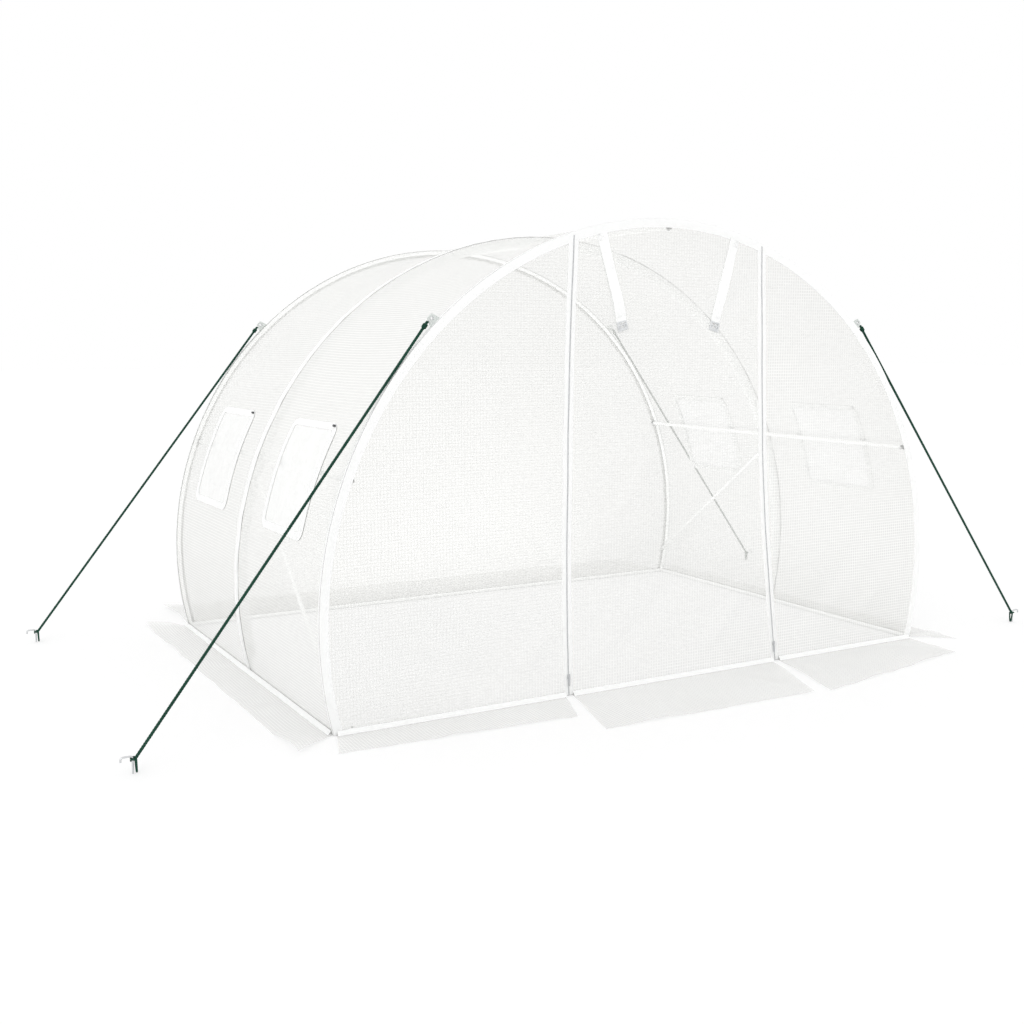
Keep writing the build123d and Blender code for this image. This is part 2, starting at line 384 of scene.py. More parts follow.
@dataclass(frozen=True)
class ZincPlate(Finish):
    """Bright zinc on steel, with a cloudy grain."""

    cloud_scale: float = 120.0
    grain_scale: float = 700.0
    grain_depth: float = 0.0001

    def dress(self, bench: Bench) -> None:
        """Wire the zinc's clouds and its drawn grain.

        Args:
            bench: The material's bench.
        """
        clouds = bench.speckle(self.cloud_scale, 5.0)
        bench.shade(
            Metallic=1.0,
            Base_Color=bench.blend(clouds, self.colour, self.shade),
            Roughness=bench.ease(clouds, 0.2, 0.8, self.roughness - 0.08, self.roughness + 0.12),
        )
        bench.bump(bench.speckle(self.grain_scale, 2.0), self.grain_depth)


TUBE_COAT = PowderCoat("white_tube_coat", (0.95, 0.955, 0.95), (0.88, 0.89, 0.89), 0.34)
SCRIM = ScrimFilm("scrim_film", (0.78, 0.78, 0.765), (0.68, 0.68, 0.66), 0.4)
WINDOW_FILM = MilkyFilm("milky_film", (0.87, 0.875, 0.87), (0.83, 0.835, 0.83), 0.45, 0.4)
SCREEN = ScrimFilm("insect_screen", (0.95, 0.95, 0.95), (0.9, 0.9, 0.9), 0.5, 0.0016, 0.0005, 0.04, 0.2)
# For the webbing finishes the second colour is painted shade in the grooves of the weave.
TAPE = Webbing("white_tape", (0.94, 0.945, 0.94), (0.9, 0.905, 0.9), 0.55, 0.0016, 0.0012)
LINING = Webbing("white_lining", (0.96, 0.965, 0.96), (0.9, 0.905, 0.9), 0.6, 0.0016, 0.0012)
STRAP_WEB = Webbing("strap_webbing", (0.94, 0.945, 0.94), (0.88, 0.885, 0.88), 0.6)
TAB_WEB = Webbing("tab_webbing", (0.7, 0.73, 0.71), (0.52, 0.55, 0.53), 0.6)
DARK_PLASTIC = MouldedPlastic("dark_plastic", (0.045, 0.047, 0.05), (0.09, 0.092, 0.096), 0.42)
GREY_PLASTIC = MouldedPlastic("grey_plastic", (0.44, 0.45, 0.46), (0.54, 0.55, 0.56), 0.4)
PALE_PLASTIC = MouldedPlastic("pale_plastic", (0.6, 0.61, 0.62), (0.5, 0.51, 0.52), 0.4)
ROPE = RopeYarn("green_rope", (0.002, 0.026, 0.015), (0.008, 0.07, 0.042), 0.62)
ZINC = ZincPlate("zinc_plate", (0.72, 0.73, 0.74), (0.58, 0.59, 0.6), 0.34)
THREAD = MouldedPlastic("sewing_thread", (0.66, 0.665, 0.66), (0.74, 0.745, 0.74), 0.6)


# Mesh helpers


def steps(start: float, stop: float, pitch: float) -> list[float]:
    """Return even steps from start to stop, about a pitch apart, both ends included."""
    count = max(1, math.ceil(abs(stop - start) / pitch))
    return [start + (stop - start) * index / count for index in range(count + 1)]


def stops(breaks: Sequence[float], pitch: float) -> list[float]:
    """Return even steps through a run of break points, each of them included."""
    runs = [steps(first, last, pitch)[:-1] for first, last in pairwise(breaks)]
    return [value for run in runs for value in run] + [breaks[-1]]


def shares(count: int) -> list[float]:
    """Return even shares from 0 to 1 in a number of steps."""
    return [index / count for index in range(count + 1)]


def smooth(value: float, start: float, stop: float) -> float:
    """Return 0 before start, 1 past stop and a soft rise between."""
    share = min(max((value - start) / (stop - start), 0.0), 1.0)
    return share * share * (3 - 2 * share)


def length_of(path: Sequence[Vector]) -> float:
    """Return the length of a run of points."""
    return sum((after - before).length for before, after in pairwise(path))


@dataclass(frozen=True)
class Ripple:
    """A soft fixed noise from about -1 to 1: the scales of its two coordinates and its seed."""

    across: float
    along: float
    seed: float = 0.0

    def at(self, first: float, second: float, seed: float = 0.0) -> float:
        """Return the noise at two coordinates, with a piece's own number added to the seed."""
        return noise.noise(Vector((first * self.across, second * self.along, self.seed + seed)))


def put(name: str, data: bpy.types.ID) -> Piece:
    """Link a new object of a mesh, a curve, a lamp or a camera to the scene, and return it."""
    piece = bpy.data.objects.new(name, data)
    bpy.context.scene.collection.objects.link(piece)
    return piece


def coat(piece: Piece, finish: Finish) -> None:
    """Give a piece one finish all over."""
    piece.data.materials.clear()
    piece.data.materials.append(finish.material())


def finish_mesh(piece: Piece, sharp_angle: float) -> None:
    """Merge doubled points, drop loose ones, and shade the piece smooth up to an angle.

    Args:
        piece: The object to tidy.
        sharp_angle: The angle in degrees from which an edge stays sharp.
    """
    work = bmesh.new()
    work.from_mesh(piece.data)
    bmesh.ops.remove_doubles(work, verts=work.verts, dist=1e-6)
    bmesh.ops.dissolve_degenerate(work, edges=work.edges, dist=1e-7)
    bmesh.ops.delete(work, geom=[v for v in work.verts if not v.link_faces], context="VERTS")
    if all(edge.is_manifold for edge in work.edges):
        bmesh.ops.recalc_face_normals(work, faces=work.faces)
    work.to_mesh(piece.data)
    work.free()
    piece.data.shade_smooth()
    piece.data.set_sharp_from_angle(angle=math.radians(sharp_angle))


def make_piece(
    name: str,
    points: Sequence[Vector],
    faces: Sequence[Sequence[int]],
    finish: Finish,
    unwrap: Sequence[Pair] | None = None,
    sharp_angle: float = 40.0,
) -> Piece:
    """Make one mesh object at the origin.

    Args:
        name: The piece's name.
        points: Its corners, in metres.
        faces: Its faces, as indices of corners.
        finish: The finish of the whole piece.
        unwrap: A UV for each corner, in metres.
        sharp_angle: The angle in degrees from which an edge stays sharp.

    Returns:
        The new object, linked to the scene.
    """
    mesh = bpy.data.meshes.new(name)
    mesh.from_pydata([tuple(point) for point in points], [], faces)
    if unwrap is not None:
        layer = mesh.uv_layers.new(name="metres")
        for loop in mesh.loops:
            layer.data[loop.index].uv = unwrap[loop.vertex_index]
    piece = put(name, mesh)
    coat(piece, finish)
    finish_mesh(piece, sharp_angle)
    return piece


def film_sheet(
    name: str,
    across: Sequence[float],
    along: Sequence[float],
    place: Callable[[float, float], Vector],
    unwrap: Callable[[float, float], Pair],
    finish: Finish,
    inside: Vector,
    is_open: Callable[[float, float], bool] = lambda first, second: False,
) -> Piece:
    """Make a thin open sheet over a grid of two parameters.

    Args:
        name: The piece's name.
        across: The first parameter's steps.
        along: The second parameter's steps.
        place: Gives a point in the frame for the two parameters.
        unwrap: Gives a UV in metres for the two parameters.
        finish: The sheet's finish.
        inside: A point that the faces look away from.
        is_open: Says where the sheet is cut out.

    Returns:
        The new object.
    """
    width = len(across)
    points = [place(first, second) for second in along for first in across]
    coordinates = [unwrap(first, second) for second in along for first in across]
    faces = []
    for row, column in product(range(len(along) - 1), range(width - 1)):
        middle = (across[column] + across[column + 1]) / 2, (along[row] + along[row + 1]) / 2
        if not is_open(*middle):
            corner = row * width + column
            faces.append((corner, corner + 1, corner + width + 1, corner + width))
    piece = make_piece(name, points, faces, finish, coordinates, 180.0)
    if sum(face.normal.dot(face.center - inside) * face.area for face in piece.data.polygons) < 0:
        piece.data.flip_normals()
    return piece


def ribbon(
    name: str,
    path: Sequence[Vector],
    across: Sequence[Vector],
    width: float,
    thickness: float,
    finish: Finish,
    closed: bool = False,
) -> Piece:
    """Make a flat strip of even width and thickness along a path.

    Args:
        name: The piece's name.
        path: The strip's middle line.
        across: The direction of the width at each point of the path.
        width: The strip's width.
        thickness: The strip's thickness.
        finish: The strip's finish.
        closed: True where the path runs back to its start.

    Returns:
        The new object, a closed thin solid.
    """
    count = len(path)
    points, coordinates, faces, length = [], [], [], 0.0
    for index, (point, side) in enumerate(zip(path, across)):
        before = path[index - 1] if index or closed else point
        after = path[(index + 1) % count] if index + 1 < count or closed else point
        out = (after - before).cross(side).normalized()
        for sideways, upward in ((-1, -1), (1, -1), (1, 1), (-1, 1)):
            points.append(point + side * (sideways * width / 2) + out * (upward * thickness / 2))
            coordinates.append((length, sideways * width / 2))
        length += (after - point).length
    for index, corner in product(range(count if closed else count - 1), range(4)):
        here, there, beside = 4 * index, 4 * ((index + 1) % count), (corner + 1) % 4
        faces.append((here + corner, here + beside, there + beside, there + corner))
    if not closed:
        faces += [(3, 2, 1, 0), tuple(4 * (count - 1) + corner for corner in range(4))]
    return make_piece(name, points, faces, finish, coordinates)


def turned(name: str, profile: Profile, sides: int, finish: Finish, ring: bool = False) -> Piece:
    """Make a turned shape about the X axis.

    Args:
        name: The piece's name.
        profile: Pairs of a place along X and a radius, from one end to the other.
        sides: The number of sides round the axis.
        finish: The shape's finish.
        ring: True where the profile runs back to its start, as on a collar.

    Returns:
        The new object at the origin.
    """
    points, faces = [], []
    for along, radius in profile:
        for index in range(sides):
            turn = math.tau * index / sides
            points.append(Vector((along, radius * math.cos(turn), radius * math.sin(turn))))
    rows = len(profile)
    for row, index in product(range(rows if ring else rows - 1), range(sides)):
        here, there, beside = row * sides, (row + 1) % rows * sides, (index + 1) % sides
        faces.append((here + index, here + beside, there + beside, there + index))
    if not ring:
        faces += [tuple(range(sides))[::-1], tuple(range((rows - 1) * sides, rows * sides))]
    return make_piece(name, points, faces, finish)


def block(
    name: str,
    size: Vector,
    edge: float,
    finish: Finish,
    places: Iterable[Vector] = (Vector(),),
    rounds: int = 2,
) -> Piece:
    """Make one or more bevelled blocks in one mesh.

    Args:
        name: The piece's name.
        size: The blocks' size along each axis.
        edge: The bevel's width.
        finish: The blocks' finish.
        places: The blocks' middles.
        rounds: The number of steps in the bevel.

    Returns:
        The new object.
    """
    work = bmesh.new()
    for place in places:
        made = bmesh.ops.create_cube(work, size=1.0)["verts"]
        bmesh.ops.scale(work, vec=size, verts=made)
        bmesh.ops.translate(work, vec=place, verts=made)
    bmesh.ops.bevel(work, geom=work.edges[:], offset=edge, segments=rounds, affect="EDGES", profile=0.5)
    mesh = bpy.data.meshes.new(name)
    work.to_mesh(mesh)
    work.free()
    piece = put(name, mesh)
    coat(piece, finish)
    finish_mesh(piece, 50.0)
    return piece


def join(first: Piece, *others: Piece) -> Piece:
    """Join pieces into the first of them, and return that one."""
    with bpy.context.temp_override(active_object=first, selected_editable_objects=[first, *others]):
        bpy.ops.object.join()
    return first


def as_mesh(carrier: Piece, name: str) -> Piece:
    """Turn an object with live modifiers or a curve into a plain mesh object, and remove it.

    Args:
        carrier: The object to evaluate.
        name: The new piece's name.

    Returns:
        The plain mesh object at the origin.
    """
    depsgraph = bpy.context.evaluated_depsgraph_get()
    mesh = bpy.data.meshes.new_from_object(carrier.evaluated_get(depsgraph), depsgraph=depsgraph)
    mesh.name = name
    bpy.data.objects.remove(carrier)
    return put(name, mesh)


def cord_runs(name: str, runs: Iterable[Sequence[Vector]], radius: float, finish: Finish) -> Piece:
    """Make round cord along smooth runs of points.

    Args:
        name: The piece's name.
        runs: The points of each run.
        radius: The cord's radius.
        finish: The cord's finish.

    Returns:
        The new mesh object.
    """
    curve = bpy.data.curves.new(name, "CURVE")
    curve.dimensions = "3D"
    curve.bevel_depth = radius
    curve.bevel_resolution = 2
    curve.use_fill_caps = True
    for run in runs:
        spline = curve.splines.new("NURBS")
        spline.points.add(len(run) - 1)
        for point, place in zip(spline.points, run):
            point.co = (*place, 1.0)
        spline.order_u = 3
        spline.use_endpoint_u = True
        spline.resolution_u = 6
    piece = as_mesh(put(name, curve), name)
    coat(piece, finish)
    finish_mesh(piece, 60.0)
    return piece


def settle(piece: Piece, slot: str, *nodes: str) -> None:
    """Put a finished piece on the part.

    Args:
        piece: The finished object.
        slot: The name of a material slot; not used.
        nodes: The solids that the piece stands for.
    """
    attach(piece, BODY)
    if nodes:
        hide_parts(*nodes)
    log.info("%s: %d faces", piece.name, len(piece.data.polygons))


# Geometry Nodes


class NodeRig(Wiring):
    """A Geometry Nodes tree with named inputs, built in the script."""

    def __init__(self, name: str, *inputs: tuple[str, str]) -> None:
        """Make the tree with its sockets and let the subclass wire it.

        Args:
            name: The tree's name.
            inputs: Pairs of an input's name and its kind.
        """
        super().__init__(bpy.data.node_groups.new(name, "GeometryNodeTree"))
        sockets = self.tree.interface
        sockets.new_socket("Geometry", in_out="INPUT", socket_type="NodeSocketGeometry")
        self.identifiers = {}
        for word, kind in inputs:
            socket = sockets.new_socket(word, in_out="INPUT", socket_type=f"NodeSocket{kind}")
            self.identifiers[word] = socket.identifier
        sockets.new_socket("Geometry", in_out="OUTPUT", socket_type="NodeSocketGeometry")
        self.given = self.add("NodeGroupInput").outputs
        self.wire()

    def wire(self) -> None:
        """Add the tree's nodes and links."""
        raise NotImplementedError

    def close(self, geometry: Socket) -> None:
        """End the tree in realized instances of what it has made, with the given finish."""
        real = self.add("GeometryNodeRealizeInstances", Geometry=geometry)
        dressed = self.add("GeometryNodeSetMaterial", Geometry=real.outputs[0], Material=self.given["Finish"])
        self.add("NodeGroupOutput", Geometry=dressed.outputs[0])

    def run(self, name: str, mesh: bpy.types.Mesh, **values: object) -> Piece:
        """Run the tree on a mesh and return the result as a plain piece.

        Args:
            name: The new piece's name.
            mesh: The geometry that goes in.
            values: A value for each named input.

        Returns:
            The new mesh object.
        """
        carrier = put(name, mesh)
        modifier = carrier.modifiers.new(name, "NODES")
        modifier.node_group = self.tree
        for word, value in values.items():
            modifier[self.identifiers[word]] = value
        return as_mesh(carrier, name)


@dataclass(frozen=True)
class Spot:
    """A place for a fitting, with the directions of its X and Z axes."""

    place: Vector
    along: Vector
    up: Vector


class FittingRig(NodeRig):
    """Repeats one small fitting on placed points."""

    def __init__(self) -> None:
        """Name the inputs: the fitting and its finish."""
        super().__init__("placed_fittings", ("Fitting", "Object"), ("Finish", "Material"))

    def wire(self) -> None:
        """Turn an instance of the fitting to each point's own directions."""
        fitting = self.add("GeometryNodeObjectInfo", Object=self.given["Fitting"])
        turns = []
        for word, settings in (("along", {"axis": "X"}), ("up", {"axis": "Z", "pivot_axis": "X"})):
            way = self.add("GeometryNodeInputNamedAttribute", {"data_type": "FLOAT_VECTOR"}, Name=word)
            turn = self.add("FunctionNodeAlignRotationToVector", settings, Vector=way.outputs["Attribute"])
            if turns:
                self.feed(turn.inputs["Rotation"], turns[-1])
            turns.append(turn.outputs[0])
        placed = self.add(
            "GeometryNodeInstanceOnPoints",
            Points=self.given["Geometry"],
            Instance=fitting.outputs["Geometry"],
            Rotation=turns[-1],
        )
        self.close(placed.outputs[0])

    def lay(self, name: str, spots: Sequence[Spot], fitting: Piece, finish: Finish) -> Piece:
        """Lay a fitting on each spot and remove the pattern piece.

        Args:
            name: The new piece's name.
            spots: Where the fittings go.
            fitting: The pattern piece, made at the origin.
            finish: The fittings' finish.

        Returns:
            One mesh object with all the fittings.
        """
        mesh = bpy.data.meshes.new(name)
        mesh.from_pydata([tuple(spot.place) for spot in spots], [], [])
        for word in ("along", "up"):
            attribute = mesh.attributes.new(word, "FLOAT_VECTOR", "POINT")
            for index, spot in enumerate(spots):
                attribute.data[index].vector = getattr(spot, word)
        piece = self.run(name, mesh, Fitting=fitting, Finish=finish.material())
        bpy.data.objects.remove(fitting)
        return piece


class RopeRig(NodeRig):
    """Lays strands round a straight line, as in a twisted rope."""

    STRANDS = 3
    STRAND_SIDES = 8

    def __init__(self) -> None:
        """Name the inputs: the ends, the directions across, the sizes and the finish."""
        vectors = [(word, "Vector") for word in ("Start", "End", "Side", "Up")]
        floats = [(word, "Float") for word in ("Lay", "Offset", "Strand")]
        super().__init__("twisted_rope", *vectors, *floats, ("Steps", "Int"), ("Finish", "Material"))

    def wire(self) -> None:
        """Wind each strand about the line and give it a round section."""
        given = self.given
        line = self.add("GeometryNodeCurvePrimitiveLine", Start=given["Start"], End=given["End"])
        run = self.add("GeometryNodeResampleCurve", Curve=line.outputs[0], Count=given["Steps"])
        length = self.add("GeometryNodeSplineParameter").outputs["Length"]
        turns = self.sum("DIVIDE", length, given["Lay"])
        section = self.add(
            "GeometryNodeCurvePrimitiveCircle", Resolution=self.STRAND_SIDES, Radius=given["Strand"]
        ).outputs[0]
        joined = self.add("GeometryNodeJoinGeometry")
        for strand in range(self.STRANDS):
            angle = self.sum("MULTIPLY", self.sum("ADD", turns, strand / self.STRANDS), math.tau)
            both = self.add("ShaderNodeVectorMath", {"operation": "ADD"})
            for socket, word, operation in zip(both.inputs, ("Side", "Up"), ("COSINE", "SINE")):
                share = self.sum("MULTIPLY", self.sum(operation, angle), given["Offset"])
                scale = {"operation": "SCALE"}
                shift = self.add("ShaderNodeVectorMath", scale, Vector=given[word], Scale=share)
                self.feed(socket, shift.outputs[0])
            wound = self.add("GeometryNodeSetPosition", Geometry=run.outputs[0], Offset=both.outputs[0])
            tube = self.add(
                "GeometryNodeCurveToMesh", Curve=wound.outputs[0], Profile_Curve=section, Fill_Caps=True
            )
            self.feed(joined.inputs[0], tube.outputs[0])
        self.close(joined.outputs[0])


# The part's sizes


@dataclass(frozen=True)
class TunnelPlan:
    """The tunnel's main sizes in metres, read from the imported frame.

    The walls are Y of their outer faces, the film's foot and the hoops' centre are heights.
    """

    tube_radius: float
    hoop_radius: float
    hoop_centre: float
    film_radius: float
    film_foot: float
    half_length: float
    front_wall: float
    back_wall: float

    @classmethod
    def from_frame(cls) -> "TunnelPlan":
        """Read the sizes from the boxes of the frame's nodes.

        Returns:
            The plan.
        """
        ridge_low, ridge_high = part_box("ridge_purlin")
        tube_radius = (ridge_high.x - ridge_low.x) / 2
        hoop_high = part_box("middle_hoop")[1]
        hoop_centre = hoop_high.z - hoop_high.x
        back_low, back_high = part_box("back_hoop")
        return cls(
            tube_radius=tube_radius,
            hoop_radius=hoop_high.x - tube_radius,
            hoop_centre=hoop_centre,
            film_radius=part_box("front_roof_cover")[1].z - hoop_centre,
            film_foot=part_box("door_panel")[0].z,
            half_length=(back_low.y + back_high.y) / 2,
            front_wall=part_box("door_panel")[0].y,
            back_wall=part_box("back_wall")[1].y,
        )

    @property
    def inside(self) -> Vector:
        """A point in the middle of the tunnel."""
        return Vector((0, 0, self.hoop_centre))

    @property
    def foot_angle(self) -> float:
        """The angle from the top at which the cover meets the ground."""
        return math.acos((self.film_foot - self.hoop_centre) / self.film_radius)

    @property
    def hoop_depths(self) -> tuple[float, float, float]:
        """Y of the three hoops."""
        return -self.half_length, 0.0, self.half_length

    def on_arc(self, radius: float, angle: float, depth: float) -> Vector:
        """Return a point at an angle from the top, plus to the right, and at a depth."""
        return Vector((radius * math.sin(angle), depth, self.hoop_centre + radius * math.cos(angle)))

    def outward(self, angle: float) -> Vector:
        """Return the direction out of the cover at an angle from the top."""
        return Vector((math.sin(angle), 0, math.cos(angle)))

    def around(self, angle: float) -> Vector:
        """Return the direction along the arc, to the right, at an angle from the top."""
        return Vector((math.cos(angle), 0, -math.sin(angle)))

    def half_width(self, height: float) -> float:
        """Return half the cover's width at a height."""
        return math.sqrt(max(self.film_radius**2 - (height - self.hoop_centre) ** 2, 0.0))

    def outline(self, x: float) -> float:
        """Return the height of the cover's outline over a place across the tunnel."""
        return self.hoop_centre + math.sqrt(self.film_radius**2 - x**2)

    def arc_path(self, radius: float, depth: float, pitch: float, lowest: float) -> list[Vector]:
        """Return points on an arc at a depth from left to right, a pitch apart, down to the lowest height."""
        reach = math.acos((lowest - self.hoop_centre) / radius)
        return [self.on_arc(radius, angle, depth) for angle in steps(-reach, reach, pitch / radius)]


# Frame


@dataclass
class TubeFrame:
    """The hoops, purlins, rails and braces, with their small fittings.

    A fitting's profile pairs places along its axis with radii, or with heights over the tube it sits on.
    """

    plan: TunnelPlan
    fittings: FittingRig
    swage_angles: tuple[float, ...] = (-91.0, -65.0, -39.0, -13.0, 13.0, 39.0, 65.0, 91.0)
    swage_over_tube: Profile = ((-0.015, -0.0004), (-0.01275, 0.0011), (0.0075, 0.0011), (0.015, -0.0004))
    cap_over_tube: Profile = ((0.0, -0.0008), (0.0008, 0.0008), (0.016, 0.0008), (0.016, -0.0003))
    cap_overhang: float = 0.0002
    collar_sides: int = 20
    bolt: Profile = ((0.0, 0.0087), (0.0012, 0.0087), (0.0012, 0.0058), (0.0048, 0.0058), (0.0058, 0.00464))
    bolt_sides: int = 6
    bolt_depth_share: float = 0.997
    screw: Profile = ((0.0, 0.00406), (0.0016, 0.003654), (0.0024, 0.00203))
    screw_sides: int = 10
    screw_inset: float = 0.02
    seat_depth: float = 0.0004

    PURLINS = ("ridge_purlin", "left_purlin", "right_purlin")
    TUBES = (
        *(f"{place}_hoop" for place in ("front", "middle", "back")),
        *PURLINS,
        *(f"{end.word}_base_rail" for end in End),
        *(f"{side.word}_{word}" for side in Side for word in ("base_rails", "wall_brace")),
        "foot_connectors",
    )

    def build(self, nodes: dict[str, Piece]) -> None:
        """Dress the carried tubes and add the fittings.

        Args:
            nodes: The frame's nodes by name.
        """
        for name in self.TUBES:
            coat(nodes[name], TUBE_COAT)
            log.info("%s: powder coat", name)
        self.swages()
        self.purlin_caps()
        self.crossing_bolts()
        self.foot_screws()

    def over_tube(self, profile: Profile) -> Profile:
        """Return a profile whose heights over the tube are turned to radii."""
        return tuple((along, self.plan.tube_radius + rise) for along, rise in profile)

    def swages(self) -> None:
        """Make the swaged joints where the hoops' tubes plug into each other."""
        plan = self.plan
        profile = self.over_tube(self.swage_over_tube)
        collar = turned("swage_pattern", profile, self.collar_sides, TUBE_COAT, ring=True)
        spots = [
            Spot(plan.on_arc(plan.hoop_radius, angle, depth), plan.around(angle), plan.outward(angle))
            for depth in plan.hoop_depths
            for angle in map(math.radians, self.swage_angles)
        ]
        settle(self.fittings.lay("hoop_swages", spots, collar, TUBE_COAT), "tube")

    def purlin_caps(self) -> None:
        """Make the dark caps on the purlins' ends."""
        cap = turned("cap_pattern", self.over_tube(self.cap_over_tube), self.collar_sides, DARK_PLASTIC)
        spots = []
        for low, high in map(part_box, self.PURLINS):
            middle = (low + high) / 2
            for depth, inward in ((low.y, Y_AXIS), (high.y, -Y_AXIS)):
                end = Vector((middle.x, depth, middle.z))
                spots.append(Spot(end - inward * self.cap_overhang, inward, Z_AXIS))
        settle(self.fittings.lay("purlin_caps", spots, cap, DARK_PLASTIC), "fitting")

    def crossing_bolts(self) -> None:
        """Make the bolt heads under the purlins where they cross the hoops."""
        bolt = turned("bolt_pattern", self.bolt, self.bolt_sides, ZINC)
        spots = []
        for low, high in map(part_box, self.PURLINS):
            middle = (low + high) / 2
            outward = Vector((middle.x, 0, middle.z - self.plan.hoop_centre)).normalized()
            for depth in self.plan.hoop_depths:
                crossing = Vector((middle.x, depth * self.bolt_depth_share, middle.z))
                seat = crossing - outward * (self.plan.tube_radius - self.seat_depth)
                spots.append(Spot(seat, -outward, Y_AXIS))
        settle(self.fittings.lay("crossing_bolts", spots, bolt, ZINC), "fitting")

    def foot_screws(self) -> None:
        """Make the dark screws that lock the tubes in the foot connectors."""
        screw = turned("screw_pattern", self.screw, self.screw_sides, DARK_PLASTIC)
        low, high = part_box("front_base_rail")
        top = 2 * self.plan.tube_radius - self.seat_depth
        spots = [
            Spot(Vector((x, end.value * self.plan.half_length, top)), Z_AXIS, Y_AXIS)
            for end in End
            for x in (low.x + self.screw_inset, high.x - self.screw_inset)
        ]
        settle(self.fittings.lay("foot_screws", spots, screw, DARK_PLASTIC), "fitting")


# Film cover


@dataclass(frozen=True)
class Window:
    """One window in a side wall: its edges' angles from the top, and Y of its other two edges."""

    side: Side
    end: End
    head: float
    sill: float
    front: float
    back: float

    SEED_STEPS = (3.7, 1.9)

    @classmethod
    def from_frame(cls, plan: TunnelPlan, side: Side, end: End) -> "Window":
        """Read the edges of the window in one bay's side wall."""
        low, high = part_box(f"{side.word}_{end.word}_window_flap")
        angles = [math.acos((height - plan.hoop_centre) / plan.film_radius) for height in (high.z, low.z)]
        return cls(side, end, *angles, low.y, high.y)

    @property
    def word(self) -> str:
        """The window's place in words."""
        return f"{self.side.word}_{self.end.word}_window"

    @property
    def middle(self) -> Pair:
        """The angle and Y of the window's middle."""
        return (self.head + self.sill) / 2, (self.front + self.back) / 2

    @property
    def seed(self) -> float:
        """A number that sets the window's own waves."""
        by_side, by_end = self.SEED_STEPS
        return by_side * self.side.value + by_end * self.end.value


